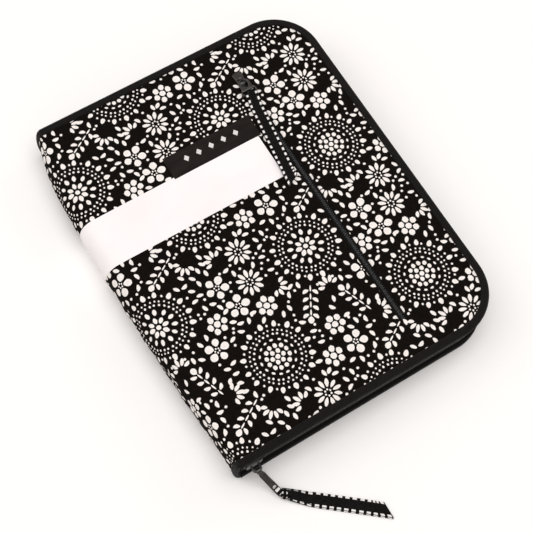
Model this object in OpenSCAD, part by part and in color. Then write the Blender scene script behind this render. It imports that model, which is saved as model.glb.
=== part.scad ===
// Interchangeable knitting needle set in a zip-round fabric case.
// Origin: centre of the closed case's underside. +X towards the opening side, +Z up.
// The case lies closed; its spine is at -X and its main slider is parked at the -Y, -X end.

/* [Case] */
// Length of the case along Y
case_l = 210; // [205:1:230]
// Distance from the flat of the spine to the opening side, along X
case_w = 160; // [156:1:180]
// Thickness of the closed case
case_t = 25; // [25:0.5:30]
// Radius of the two corners on the opening side
corner_r = 27; // [20:1:30]
// How far the padded spine bulges beyond its flat
spine_bulge = 5.2; // [4:0.2:7]

/* [Layers] */
// Thickness of the printed fabric
fabric_t = 0.6; // [0.4:0.1:0.7]
// Thickness of the foam under the fabric
foam_t = 0.8; // [0.6:0.1:1]
// Thickness of the stiffening board
board_t = 1.3; // [1.2:0.1:1.4]
// Thickness of the lining
lining_t = 0.5; // [0.4:0.1:0.6]
// Thickness of the paper band and of the woven label
paper_t = 0.4; // [0.3:0.05:0.5]
// Width of the binding on the cover's face
binding_w = 4; // [3:0.5:5]
// Height of the binding on the cover's edge
binding_h = 4.6; // [4.4:0.1:5]

/* [Band and label] */
// Width of the paper band along Y
band_w = 28.4; // [20:0.2:35]
// Middle of the paper band along Y
band_y = 29.1; // [20:0.1:35]
// Where the paper band ends on the front, along X
band_end_x = 21; // [15:1:22]
// Width of the woven label along X
label_w = 50; // [40:1:50]
// Visible height of the woven label along Y
label_h = 13.2; // [10:0.2:14]

/* [Zips] */
// Width of one half of the main zip's coil
coil_w = 2.5; // [2.2:0.1:2.7]
// Thickness of the main zip's coil
coil_t = 2.2; // [2:0.1:2.4]
// Thickness of the zip tapes
tape_t = 0.6; // [0.5:0.05:0.7]
// Travel of the main slider along its first straight side
main_travel = 118; // [60:1:118]
// Distance of the pocket zip from the middle of the case, along X
pocket_x = 30.3; // [29:0.1:33]
// Length of the pocket zip's opening
pocket_l = 165; // [150:1:168]
// Distance of the pouch zip from the middle of the case, along Y
pouch_zip_y = 46; // [44:0.5:48]

/* [Needle tips] */
// Length of every needle tip
tip_l = 127; // [110:1:127]
// Diameters of the nine pairs, smallest first
tip_d = [3.5, 3.75, 4, 4.5, 5, 5.5, 6, 6.5, 8]; // [3:0.25:8]
// Depth of the needle pockets
pocket_depth = 58; // [50:1:60]

/* [Cables] */
// Diameter of the coated cables
cable_d = 2.2; // [1.8:0.1:2.4]
// Diameter of the steel ends on the cables
ferrule_d = 3.2; // [2.8:0.1:3.4]

/* [Hidden] */
$fn = 48;
// heights of the layers, counted from the underside of the back cover
z_fabric = paper_t;
z_foam = z_fabric + fabric_t;
z_board = z_foam + foam_t;
z_lining = z_board + board_t;
cover_t = z_lining + lining_t;
mid_z = case_t / 2;
half_w = case_w / 2;
half_l = case_l / 2;
// the covers begin this far from the spine's flat, clear of the two fold lines
cover_x = -half_w + 2;
ring_x = cover_x + 1.5;
tape_x = -half_w + 6;
// main zip: its coil lies this far inside the case's outline
coil_in = 1;
tape_in = coil_in + (coil_t - tape_t) / 2;
tape_gap = 0.9;
coil_gap = 0.05;
// sliders
slider_l = 9;
slider_x = -half_w + 10;
slider_y = -half_l + coil_in + coil_t / 2;
plate_t = 0.8;
plate_gap = 0.2;
neck_r = 0.8;
bail_r = 0.6;
bail_y = -half_l - 3.4;
pull_l = 16.3;
pull_drop = 39.1;
pull_yaw = 16;
pull_t = 1.2;
ribbon_w = 7;
ribbon_t = 1;
ribbon_neck = 2.4;
ribbon_flare = 8;
// pocket zip, sunk in a slot of the front cover
pocket_y0 = -pocket_l / 2;
pocket_slider_y = 78;
small_plate_t = 0.55;
small_slider_l = 8;
small_slider_w = 5.8;
small_bail_r = 0.5;
small_pull_l = 10.5;
small_pull_t = 0.8;
// mesh pouch under the front cover
pouch_lo = [-62, -92, 14.9];
pouch_hi = [66, 56, case_t - cover_t];
pouch_t = 0.6;
pouch_slider_x = -46;
// needle pockets on the back cover
pocket_end = -96;
slot_air = 0.3;
sheet_t = 0.6;
slots_x0 = -69;
slots_w = 138;
// coils of cable
cable_z = 18.4;
cable_pitch = 3;
ferrule_l = 14;
coil_centres_24 = [[-30, 4], [33, 4]];
coil_centres_32 = [[-30, -60], [33, -60]];
coil_r_24 = 18;
coil_r_32 = 20;
halves_24 = 5;
halves_32 = 7;
lead_r = 9;

function slot_w(i) = 2 * tip_d[i] + 3 * slot_air + 0.1;
function sum_to(n) = n <= 0 ? 0 : slot_w(n - 1) + sum_to(n - 1);
slot_gap = (slots_w - sum_to(len(tip_d))) / (len(tip_d) + 1);
function slot_x(i) = slots_x0 + slot_gap * (i + 1) + sum_to(i);

// ---- shared shapes ----

// Box between two corners
module span(lo, hi) translate(lo) cube(hi - lo);

// The case's outline, inset by i: square at the spine, round at the opening side
module outline(i = 0) {
    r = corner_r - i;
    x1 = half_w - i;
    y1 = half_l - i;
    translate([-half_w, -y1]) square([half_w + x1 - r, 2 * y1]);
    translate([x1 - r, -(y1 - r)]) square([r, 2 * (y1 - r)]);
    for (s = [-1, 1]) translate([x1 - r, s * (y1 - r)]) circle(r);
}

// Part of the inset outline that lies beyond x = from
module cover_shape(i, from) intersection() {
    outline(i);
    translate([from, -case_l]) square([2 * case_w, 2 * case_l]);
}

// Strip that follows the three open sides, between two insets
module edge_strip(outer, inner, from) difference() {
    cover_shape(outer, from);
    outline(inner);
}

// One flat layer of a cover, from z0, t thick
module layer(z0, t, i = binding_w) translate([0, 0, z0]) linear_extrude(t) cover_shape(i, cover_x);

// Turns a back-cover shape over to make the front cover's
module to_front() translate([0, 0, case_t]) mirror([0, 0, 1]) children();

module x_rod(x0, x1, y, z, r) translate([x0, y, z]) rotate([0, 90, 0]) cylinder(h = x1 - x0, r = r);
module y_rod(x, y0, y1, z, r) translate([x, y0, z]) rotate([-90, 0, 0]) cylinder(h = y1 - y0, r = r);
module z_rod(x, y, z0, z1, r) translate([x, y, z0]) cylinder(h = z1 - z0, r = r);

// ---- covers ----

module binding() linear_extrude(binding_h) edge_strip(0, binding_w, ring_x);
module lining() layer(z_lining, lining_t);

// Half of the main zip's tape, from the binding to just short of the coil's middle
module zip_tape() translate([0, 0, binding_h])
    linear_extrude(mid_z - tape_gap - binding_h) edge_strip(tape_in, tape_in + tape_t, tape_x);

// Half of the closed coil, slotted for its tape
module zip_coil() difference() {
    translate([0, 0, mid_z - coil_gap - coil_w])
        linear_extrude(coil_w) edge_strip(coil_in, coil_in + coil_t, slider_x - 2);
    translate([0, 0, mid_z - coil_gap - coil_w - 1])
        linear_extrude(coil_w + 1 + coil_gap - tape_gap) edge_strip(tape_in, tape_in + tape_t, tape_x - 1);
}

// Metal stops clamped on the tape beside each end of the coil
module zip_stops() for (s = [-1, 1]) {
    x0 = s < 0 ? slider_x - 5.4 : slider_x - 3.2;
    y0 = s * (half_l - tape_in - tape_t / 2);
    difference() {
        span([x0, y0 - 1, mid_z - 2.6], [x0 + 0.8, y0 + 1, mid_z - 0.3]);
        span([x0 - 1, y0 - tape_t / 2, mid_z - 3], [x0 + 2, y0 + tape_t / 2, mid_z - tape_gap]);
    }
}

module back_binding() color([0.05, 0.05, 0.05]) binding();
module back_fabric() color([0.12, 0.12, 0.12]) layer(z_fabric, fabric_t);
module back_foam() color([0.6, 0.6, 0.6]) layer(z_foam, foam_t);
module back_board() color([0.6, 0.5, 0.38]) layer(z_board, board_t);
module back_lining() color([0.1, 0.1, 0.1]) lining();
module back_band() color([0.95, 0.93, 0.93])
    span([cover_x, band_y - band_w / 2, 0], [band_end_x, band_y + band_w / 2, paper_t]);
module back_zip_tape() color([0.08, 0.08, 0.08]) zip_tape();
module back_zip_coil() color([0.1, 0.1, 0.1]) zip_coil();
module back_zip_stops() color([0.3, 0.3, 0.3]) zip_stops();

module front_binding() color([0.05, 0.05, 0.05]) to_front() binding();
module front_lining() color([0.1, 0.1, 0.1]) to_front() lining();
module front_zip_tape() color([0.08, 0.08, 0.08]) to_front() zip_tape();
module front_zip_coil() color([0.1, 0.1, 0.1]) to_front() zip_coil();
module front_zip_stops() color([0.3, 0.3, 0.3]) to_front() zip_stops();

// Slot that the pocket zip needs in a layer of the front cover
module pocket_slot(w) span([pocket_x - w / 2, pocket_y0, 0], [pocket_x + w / 2, pocket_y0 + pocket_l, case_t + 1]);

module front_fabric() color([0.12, 0.12, 0.12]) difference() {
    to_front() layer(z_fabric, fabric_t);
    pocket_slot(4.2);
}
module front_foam() color([0.6, 0.6, 0.6]) difference() {
    to_front() layer(z_foam, foam_t);
    pocket_slot(9);
}
module front_board() color([0.6, 0.5, 0.38]) difference() {
    to_front() layer(z_board, board_t);
    pocket_slot(9);
}
module front_band() color([0.95, 0.93, 0.93])
    span([cover_x, band_y - band_w / 2, case_t - paper_t], [band_end_x, band_y + band_w / 2, case_t]);
module woven_label() color([0.15, 0.15, 0.15])
    span([-29, band_y + band_w / 2, case_t - paper_t],
         [-29 + label_w, band_y + band_w / 2 + label_h, case_t]);

// ---- spine: a stiff strip with a padded, D-shaped back ----

spine_chord = mid_z - 1;
spine_cut = -half_w + 1;
spine_sag = spine_bulge + 1;
spine_r = (spine_chord * spine_chord + spine_sag * spine_sag) / (2 * spine_sag);
spine_cx = -half_w - spine_bulge + spine_r;
spine_l = case_l - 2 * binding_w;

// Slice of the D between two radii, l long
module spine_arc(r0, r1, l, y = 0) intersection() {
    difference() {
        y_rod(spine_cx, y - l / 2, y + l / 2, mid_z, r1);
        if (r0 > 0) y_rod(spine_cx, y - l, y + l, mid_z, r0);
    }
    span([-case_w, -case_l, 0], [spine_cut, case_l, case_t]);
}

spine_board_x = spine_cut + 0.05;
spine_z0 = cover_t + 0.6;
module spine_board() color([0.6, 0.5, 0.38])
    span([spine_board_x, -spine_l / 2, spine_z0], [spine_board_x + board_t, spine_l / 2, case_t - spine_z0]);
module spine_lining() color([0.1, 0.1, 0.1])
    span([spine_board_x + board_t, -spine_l / 2, spine_z0 + 0.4],
         [spine_board_x + board_t + lining_t, spine_l / 2, case_t - spine_z0 - 0.4]);
module spine_foam() color([0.6, 0.6, 0.6]) spine_arc(0, spine_r - fabric_t, spine_l);
module spine_fabric() color([0.12, 0.12, 0.12]) spine_arc(spine_r - fabric_t, spine_r, spine_l);
module spine_band() color([0.95, 0.93, 0.93]) spine_arc(spine_r, spine_r + paper_t, band_w, band_y);
module spine_binding() color([0.05, 0.05, 0.05]) for (s = [-1, 1])
    translate([0, s * (half_l - binding_w / 2), 0])
        span([-half_w, -binding_w / 2, 2.5], [-half_w + 3, binding_w / 2, case_t - 2.5]);

// ---- main slider, pull tab and ribbon ----

module main_slider() color([0.16, 0.16, 0.17]) {
    outer_y = -half_l + coil_in - plate_gap;
    inner_y = -half_l + coil_in + coil_t + plate_gap;
    x0 = slider_x - slider_l / 2;
    x1 = slider_x + slider_l / 2;
    rim = coil_w + coil_gap + 0.6;
    tape_y = -half_l + tape_in;
    span([x0, outer_y - plate_t, mid_z - 4.2], [x1, outer_y, mid_z + 4.2]);
    span([x0, inner_y, mid_z - 4.2], [x1, inner_y + plate_t, mid_z + 4.2]);
    for (s = [-1, 1]) {
        z0 = s > 0 ? mid_z + rim : mid_z - 4.2;
        span([x0, outer_y, z0], [x1, tape_y - 0.25, z0 + 4.2 - rim]);
        span([x0, tape_y + tape_t + 0.25, z0], [x1, inner_y, z0 + 4.2 - rim]);
    }
    y_rod(x0 + neck_r + 0.2, outer_y, inner_y, mid_z, neck_r);
    // the bail: two posts and a bar that the pull tab swings on
    x_rod(slider_x - 2.2, slider_x + 2.2, bail_y, mid_z, bail_r);
    for (s = [-1, 1])
        span([slider_x + s * 2 - 0.4, bail_y - bail_r, mid_z - bail_r], [slider_x + s * 2 + 0.4, outer_y, mid_z + bail_r]);
}

// Flat pull tab in its own plane: eye at the origin, bar for the ribbon at x = l
module pull_tab(l, t, eye_r, bore_r, eye_w, wide, narrow, hole_w, hole_l, yaw = 0, window = 0) difference() {
    union() {
        x_rod(-eye_w / 2, eye_w / 2, 0, 0, eye_r);
        translate([0, 0, -t / 2]) linear_extrude(t) rotate(yaw) difference() {
            polygon([[-eye_w / 2 * 0.8, -0.5], [-wide / 2, -3], [-narrow / 2, -l - 0.5],
                     [narrow / 2, -l - 0.5], [wide / 2, -3], [eye_w / 2 * 0.8, -0.5]]);
            translate([-hole_w / 2, -l + 0.55]) square([hole_w, hole_l]);
            if (window > 0) translate([0, -window - 1.7]) circle(window);
        }
    }
    x_rod(-eye_w, eye_w, 0, 0, bore_r);
}

// Places a child that is drawn around the main bail
module at_main_bail() translate([slider_x, bail_y, mid_z]) children();

module main_pull_tab() color([0.2, 0.2, 0.21]) at_main_bail() rotate([pull_drop, 0, 0])
    pull_tab(pull_l, pull_t, 1.5, bail_r + 0.08, 2.6, 3.8, 4, 2, 4, pull_yaw);

// The bar at the tab's end, in the case's frame
main_bar = [slider_x + pull_l * sin(pull_yaw),
            bail_y - pull_l * cos(pull_yaw) * cos(pull_drop),
            mid_z - pull_l * cos(pull_yaw) * sin(pull_drop)];

// Loop round a bar that lies along X
module ring(r0, r1) rotate([0, 90, 0]) rotate_extrude() translate([r0, 0]) circle(r1, $fn = 24);

// Flat strap along +X: gathered to a neck at its loop, cut off at a slant so that its left edge is shorter
module strap(l, cut, neck, flare) linear_extrude(ribbon_t)
    polygon([[0, -neck / 2], [flare, -ribbon_w / 2], [l, -ribbon_w / 2],
             [l - cut, ribbon_w / 2], [flare, ribbon_w / 2], [0, neck / 2]]);

module main_ribbon() color([0.07, 0.07, 0.07]) {
    translate(main_bar) rotate([0, 0, pull_yaw]) ring(1.6, 0.55);
    translate([main_bar[0], main_bar[1] - 0.6, 0.1]) rotate([0, 0, -38.6]) strap(57.4, 5.6, ribbon_neck, ribbon_flare);
}

// ---- front pocket: zip, slider, pull tab and ribbon ----

pocket_top = case_t - paper_t - fabric_t;

module pocket_zip_tape() color([0.08, 0.08, 0.08]) for (s = [-1, 1])
    translate([pocket_x + s * 2.6, 0, 0])
        span([-1.6, pocket_y0, pocket_top - tape_t], [1.6, pocket_y0 + pocket_l, pocket_top]);
module pocket_zip_coil() color([0.1, 0.1, 0.1])
    span([pocket_x - 0.95, pocket_y0, pocket_top - 1.2], [pocket_x + 0.95, pocket_slider_y + 2, pocket_top + 0.4]);

// Small slider along Y, closed end at +Y: plates above and below a tape whose faces are at z0 and z1
module small_slider(top, low) {
    w = small_slider_w / 2;
    l = small_slider_l / 2;
    span([-w, -l, top], [w, l, top + small_plate_t]);
    span([-w, -l, low - small_plate_t], [w, l, low]);
    z_rod(0, l - neck_r - 0.1, low, top, neck_r);
    z = top + small_plate_t + 1.25;
    x_rod(-1.9, 1.9, -1, z, small_bail_r);
    for (s = [-1, 1])
        span([s * 1.7 - 0.3, -1 - small_bail_r, top + small_plate_t], [s * 1.7 + 0.3, -1 + small_bail_r, z + small_bail_r]);
}
pocket_plate = case_t - paper_t + 0.15;
pocket_low = case_t - z_lining + 0.1 + small_plate_t;
pocket_bail = [pocket_x, pocket_slider_y - 1, pocket_plate + small_plate_t + 1.25];

module pocket_slider() color([0.16, 0.16, 0.17]) translate([pocket_x, pocket_slider_y, 0])
    small_slider(pocket_plate, pocket_low);
module pocket_pull_tab() color([0.2, 0.2, 0.21]) translate(pocket_bail)
    pull_tab(small_pull_l, small_pull_t, 1.1, small_bail_r + 0.08, 2.4, 6, 9, ribbon_w + 0.5, 1.5, window = 1.7);
module pocket_ribbon() color([0.07, 0.07, 0.07]) {
    bar = pocket_bail - [0, small_pull_l, 0];
    difference() {
        x_rod(bar[0] - ribbon_w / 2, bar[0] + ribbon_w / 2, bar[1], bar[2], 1.3);
        x_rod(bar[0] - ribbon_w, bar[0] + ribbon_w, bar[1], bar[2], 0.8);
    }
    translate([bar[0], bar[1] - 1, case_t + 0.05]) rotate([0, 0, -97.7]) strap(58, 4.5, ribbon_w, 1);
}

// ---- mesh pouch under the front cover ----

module mesh_pouch() color([0.15, 0.15, 0.15]) difference() {
    span(pouch_lo, pouch_hi);
    span(pouch_lo + [pouch_t, pouch_t, pouch_t], pouch_hi - [pouch_t, pouch_t, -1]);
    span([pouch_lo[0] + 6, pouch_zip_y - 2.1, 0], [pouch_hi[0] - 6, pouch_zip_y + 2.1, pouch_lo[2] + 1]);
}
pouch_tape_z = pouch_lo[2] + pouch_t;
module pouch_zip_tape() color([0.08, 0.08, 0.08]) for (s = [-1, 1])
    span([pouch_lo[0] + 4, pouch_zip_y + s * 2.6 - 1.6, pouch_tape_z],
         [pouch_hi[0] - 4, pouch_zip_y + s * 2.6 + 1.6, pouch_tape_z + 0.5]);
module pouch_zip_coil() color([0.1, 0.1, 0.1])
    span([pouch_slider_x - 2, pouch_zip_y - 0.95, pouch_lo[2]],
         [pouch_hi[0] - 6, pouch_zip_y + 0.95, pouch_tape_z + 0.8]);
pouch_plate = pouch_lo[2] - 0.15;
pouch_bail_z = pouch_plate - small_plate_t - 1.25;

// The pouch slider hangs upside down and closes towards the spine
module pouch_slider() color([0.16, 0.16, 0.17])
    translate([pouch_slider_x, pouch_zip_y, 0]) rotate([0, 0, 90]) mirror([0, 0, 1])
        small_slider(-pouch_plate, -(pouch_tape_z + 1));
module pouch_pull_tab() color([0.2, 0.2, 0.21])
    translate([pouch_slider_x + 1, pouch_zip_y, pouch_bail_z]) rotate([0, 0, 90])
        pull_tab(9, small_pull_t, 1.1, small_bail_r + 0.08, 2.4, 4, 3.2, 1.5, 3, 0);

// ---- cables ----

// Flat spiral of half turns: even halves centred on the origin, odd ones half a pitch off
module spiral(r0, halves) {
    step = cable_pitch / 2;
    for (k = [0 : halves - 1])
        translate([k % 2 == 0 ? 0 : step, 0, 0]) rotate([0, 0, k % 2 == 0 ? 0 : 180])
            rotate_extrude(angle = 180) translate([r0 + k * step, 0]) circle(d = cable_d, $fn = 24);
    translate([r0 - lead_r, 0, 0]) rotate([0, 0, -90])
        rotate_extrude(angle = 90) translate([lead_r, 0]) circle(d = cable_d, $fn = 24);
}

// Steel ends of a spiral: one inside the coil, one outside it
module ferrules(r0, halves) {
    r1 = r0 + (halves - 1) * cable_pitch / 2;
    translate([r0 - lead_r, -lead_r, 0]) rotate([0, -90, 0]) ferrule();
    translate([-r1, 0, 0]) rotate([90, 0, 0]) ferrule();
}
module ferrule() {
    cylinder(h = ferrule_l - 4, d = ferrule_d);
    translate([0, 0, ferrule_l - 4]) cylinder(h = 4, d = 1.7);
}
module at_coils(centres) for (c = centres) translate([c[0], c[1], cable_z]) children();

module cables_24in() color([0.7, 0.05, 0.08]) at_coils(coil_centres_24) spiral(coil_r_24, halves_24);
module cables_32in() color([0.7, 0.05, 0.08]) at_coils(coil_centres_32) spiral(coil_r_32, halves_32);
module cable_ferrules() color([0.75, 0.75, 0.77]) {
    at_coils(coil_centres_24) ferrules(coil_r_24, halves_24);
    at_coils(coil_centres_32) ferrules(coil_r_32, halves_32);
}

// Four caps that screw on a cable's ends to hold work in progress
module end_caps() color([0.1, 0.1, 0.1]) at_coils(coil_centres_24) for (s = [-1, 1])
    translate([s * 6, 6, -1.6]) {
        cylinder(h = 2, d = 10);
        translate([0, 0, 2]) cylinder(h = 1.4, d = 4);
    }

// Two bent steel pins that tighten a tip on its cable
module tightening_keys() color([0.75, 0.75, 0.77]) at_coils(coil_centres_32) {
    x_rod(-14, 6, 5, 0, 0.6);
    translate([6, 9, 0]) rotate([0, 0, -90])
        rotate_extrude(angle = 180) translate([4, 0]) circle(0.6, $fn = 24);
    x_rod(-4, 6, 13, 0, 0.6);
}

// ---- needle tips and their pockets ----

module slots(y0, y1, floor_end) {
    for (i = [0 : len(tip_d) - 1]) difference() {
        span([slot_x(i) - sheet_t, y0, cover_t],
             [slot_x(i) + slot_w(i) + sheet_t, y1, cover_t + tip_d[i] + 2 * slot_air + sheet_t]);
        span([slot_x(i), y0 + floor_end, cover_t - 1],
             [slot_x(i) + slot_w(i), y1 + 1, cover_t + tip_d[i] + 2 * slot_air]);
    }
    for (i = [0 : len(tip_d)]) {
        x0 = i == 0 ? slots_x0 : slot_x(i - 1) + slot_w(i - 1) + sheet_t;
        x1 = i == len(tip_d) ? slots_x0 + slots_w : slot_x(i) - sheet_t;
        span([x0, y0, cover_t], [x1, y1, cover_t + sheet_t]);
    }
}
module needle_pocket() color([0.2, 0.2, 0.2]) slots(pocket_end - sheet_t, pocket_end + pocket_depth, sheet_t);
module needle_elastic() color([0.08, 0.08, 0.08]) slots(2, 14, -1);

// One tip along +Y: threaded socket at the foot, long cone and rounded point
module tip(d) rotate([-90, 0, 0]) rotate_extrude() difference() {
    r = d / 2;
    taper = 9 + 1.5 * d;
    union() {
        polygon([[0, 0], [r - 0.4, 0], [r, 0.4], [r, 6], [r - 0.25, 6.3], [r - 0.25, 7], [r, 7.3],
                 [r, tip_l - taper], [0.7, tip_l - 0.7], [0, tip_l - 0.7]]);
        intersection() {
            translate([0, tip_l - 0.7]) circle(0.7);
            square([1, tip_l + 1]);
        }
    }
    square([0.95, 5]);
}
module pair(i) color([0.8, 0.8, 0.82]) for (s = [0, 1])
    translate([slot_x(i) + slot_air + tip_d[i] / 2 + s * (tip_d[i] + slot_air + 0.1),
               pocket_end + 0.4, cover_t + slot_air + tip_d[i] / 2]) tip(tip_d[i]);

module needles_3_50mm() pair(0);
module needles_3_75mm() pair(1);
module needles_4_00mm() pair(2);
module needles_4_50mm() pair(3);
module needles_5_00mm() pair(4);
module needles_5_50mm() pair(5);
module needles_6_00mm() pair(6);
module needles_6_50mm() pair(7);
module needles_8_00mm() pair(8);

back_binding();
back_fabric();
back_foam();
back_board();
back_lining();
back_band();
back_zip_tape();
back_zip_coil();
back_zip_stops();
needle_pocket();
needle_elastic();
spine_board();
spine_foam();
spine_fabric();
spine_lining();
spine_binding();
spine_band();
front_binding();
front_fabric();
front_foam();
front_board();
front_lining();
front_band();
front_zip_tape();
front_zip_coil();
front_zip_stops();
woven_label();
pocket_zip_tape();
pocket_zip_coil();
mesh_pouch();
pouch_zip_tape();
pouch_zip_coil();
cables_24in();
cables_32in();
cable_ferrules();
end_caps();
tightening_keys();
main_slider();
main_pull_tab();
main_ribbon();
pocket_slider();
pocket_pull_tab();
pocket_ribbon();
pouch_slider();
pouch_pull_tab();
needles_3_50mm();
needles_3_75mm();
needles_4_00mm();
needles_4_50mm();
needles_5_00mm();
needles_5_50mm();
needles_6_00mm();
needles_6_50mm();
needles_8_00mm();
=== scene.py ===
"""Interchangeable needle set in a zip-round case: the looks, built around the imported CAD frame."""
import math
import random

import bpy
import numpy as np
from mathutils import Matrix, Vector
from mathutils.geometry import delaunay_2d_cdt


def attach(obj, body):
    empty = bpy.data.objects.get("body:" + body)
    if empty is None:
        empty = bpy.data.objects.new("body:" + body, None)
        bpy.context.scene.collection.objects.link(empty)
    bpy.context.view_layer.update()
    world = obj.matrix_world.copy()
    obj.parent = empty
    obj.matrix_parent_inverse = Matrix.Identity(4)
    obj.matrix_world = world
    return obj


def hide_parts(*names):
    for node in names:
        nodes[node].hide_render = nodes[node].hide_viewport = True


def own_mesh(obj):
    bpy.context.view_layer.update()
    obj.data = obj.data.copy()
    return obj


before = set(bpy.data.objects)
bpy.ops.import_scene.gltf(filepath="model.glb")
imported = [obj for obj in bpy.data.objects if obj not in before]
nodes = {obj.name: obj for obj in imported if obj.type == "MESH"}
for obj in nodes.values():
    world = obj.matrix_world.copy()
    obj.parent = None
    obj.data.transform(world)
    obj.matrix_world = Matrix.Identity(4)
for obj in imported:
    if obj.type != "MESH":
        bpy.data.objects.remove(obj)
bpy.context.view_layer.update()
rng = random.Random(5)
MM = 0.001
TAU = math.tau

# ---- sizes of the case, in millimetres, in the CAD frame ----
HALF_W = 80.0
HALF_L = 105.0
CORNER_R = 27.0
TOP = 25.0
MID_Z = 12.5
BIND = 4.0
HINGE_X = -78.0
CLOTH_Z = 24.6
SPINE_A = 7.6          # half axes of the spine's round
SPINE_B = 11.75
SPINE_HALF = 101.2
SPINE_END = 103.0
ZIP_INSET = 2.1
BAND_Y0 = 15.6
BAND_Y1 = 44.0
BAND_X = 21.0
LABEL_X0 = -29.8
LABEL_W = 52.6
LABEL_Y1 = 56.5
POCKET_X = 30.3
POCKET_HALF = 82.5
POCKET_SLOT = 2.1      # half width of the pocket zip's slot
POCKET_COIL_Z = 24.1
POCKET_TAPE_Z = 23.7
RIBBON_W = 7.0
SLIDER_X = -70.0
BAIL_OUT = 108.4
PULL_L = 16.3
PULL_DROP = 39.1
PULL_YAW = 16.0
MAIN_BAR = (-65.507, -120.56, 2.618)
MAIN_RIBBON_TURN = -38.6
POCKET_SLIDER_Y = 78.0
POCKET_BAIL = (30.3, 77.0, 26.55)
POCKET_RIBBON_TURN = -97.7
POUCH_SLIDER_X = -46.0
POUCH_ZIP_Y = 46.0
POUCH_COIL_Z = 15.62
POUCH_TAPE_Z = 15.78
POUCH_BAIL_Z = 12.95
SIDES = (("front", 1), ("back", -1))
UP = (0, 0, 1.0)

# ================= materials =================


class Shader:
    """A Principled material and the few node patterns that the pieces share."""

    def __init__(self, name, colour, rough, metal=0.0, specular=0.5, **sockets):
        self.mat = bpy.data.materials.new(name)
        self.mat.use_nodes = True
        self.tree = self.mat.node_tree
        self.bsdf = self.tree.nodes["Principled BSDF"]
        self.set("Base Color", (*colour, 1))
        self.set("Roughness", rough)
        self.set("Metallic", metal)
        self.set("Specular IOR Level", specular)
        for key, value in sockets.items():
            self.set(key.replace("_", " "), value)
        self.height = None

    def set(self, socket, value):
        self.bsdf.inputs[socket].default_value = value

    def link(self, out, socket):
        self.tree.links.new(out, socket)

    def node(self, kind, **props):
        made = self.tree.nodes.new(kind)
        for key, value in props.items():
            setattr(made, key, value)
        return made

    def coords(self, output="Object"):
        return self.node("ShaderNodeTexCoord").outputs[output]

    def noise(self, scale, detail=3.0, stretch=None, coords=None):
        coords = coords or self.coords()
        if stretch:
            mapping = self.node("ShaderNodeMapping")
            mapping.inputs["Scale"].default_value = stretch
            self.link(coords, mapping.inputs["Vector"])
            coords = mapping.outputs["Vector"]
        made = self.node("ShaderNodeTexNoise")
        made.inputs["Scale"].default_value = scale
        made.inputs["Detail"].default_value = detail
        self.link(coords, made.inputs["Vector"])
        return made.outputs["Fac"]

    def wave(self, period, axis="X", coords=None, distortion=0.0):
        """Bands that repeat every period along the axis, in the units of the coordinates."""
        made = self.node("ShaderNodeTexWave", wave_type="BANDS", bands_direction=axis)
        made.inputs["Scale"].default_value = TAU / (20 * period)
        made.inputs["Distortion"].default_value = distortion
        self.link(coords or self.coords(), made.inputs["Vector"])
        return made.outputs["Fac"]

    def math(self, operation, a, b):
        made = self.node("ShaderNodeMath", operation=operation)
        for socket, value in zip(made.inputs, (a, b)):
            if isinstance(value, (int, float)):
                socket.default_value = value
            else:
                self.link(value, socket)
        return made.outputs[0]

    def ramp(self, factor, stops):
        made = self.node("ShaderNodeValToRGB")
        ramp = made.color_ramp
        ramp.elements[0].position, ramp.elements[0].color = stops[0][0], (*stops[0][1], 1)
        ramp.elements[1].position, ramp.elements[1].color = stops[-1][0], (*stops[-1][1], 1)
        for place, colour in stops[1:-1]:
            ramp.elements.new(place).color = (*colour, 1)
        self.link(factor, made.inputs["Fac"])
        return made.outputs["Color"]

    def colour(self, factor, *stops):
        self.link(self.ramp(factor, stops), self.bsdf.inputs["Base Color"])
        return self

    def rough(self, factor, low, high):
        grey = self.ramp(factor, ((0.2, (low,) * 3), (0.8, (high,) * 3)))
        self.link(grey, self.bsdf.inputs["Roughness"])
        return self

    def bump(self, height, distance, strength=1.0):
        """Adds a bump; distance is its height in millimetres."""
        made = self.node("ShaderNodeBump")
        made.inputs["Strength"].default_value = strength
        made.inputs["Distance"].default_value = distance * MM
        self.link(height, made.inputs["Height"])
        if self.height:
            self.link(self.height, made.inputs["Normal"])
        self.height = made.outputs["Normal"]
        self.link(self.height, self.bsdf.inputs["Normal"])
        return self

    def weave(self, thread, distance, coords=None, unit=MM):
        """Plain weave: two sets of threads, thread millimetres apart."""
        over = self.wave(thread * unit, "X", coords)
        under = self.wave(thread * unit, "Y", coords)
        return self.bump(self.math("MULTIPLY", over, under), distance)


def cotton(name, dark, light, rough=0.95, sheen=0.05):
    made = Shader(name, dark, rough, specular=0.05, Sheen_Weight=sheen, Sheen_Roughness=0.5)
    made.colour(made.noise(700, 4), (0.3, dark), (0.75, light))
    return made.weave(0.42, 0.05).bump(made.noise(90, 3), 0.12, 0.5)


def ribbed(name, dark, light, pitch, depth, specular=0.25):
    """Woven binding or tape with ribs across its run; the UV map runs along it in millimetres."""
    made = Shader(name, dark, 0.82, specular=specular, Sheen_Weight=0.08, Sheen_Roughness=0.4)
    flow = made.coords("UV")
    ribs = made.wave(pitch, "X", flow)
    tone = made.math("ADD", made.math("MULTIPLY", ribs, 0.6), made.noise(500, 3))
    made.colour(tone, (0.35, dark), (1.1, light))
    return made.bump(ribs, depth).bump(made.wave(0.5, "Y", flow), depth * 0.4)


def metal(name, colour, rough, scratch=0.06):
    made = Shader(name, colour, rough, metal=1.0)
    made.rough(made.noise(400, 5), rough - scratch, rough + scratch)
    return made.bump(made.noise(900, 2), 0.003, 0.4)


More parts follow.
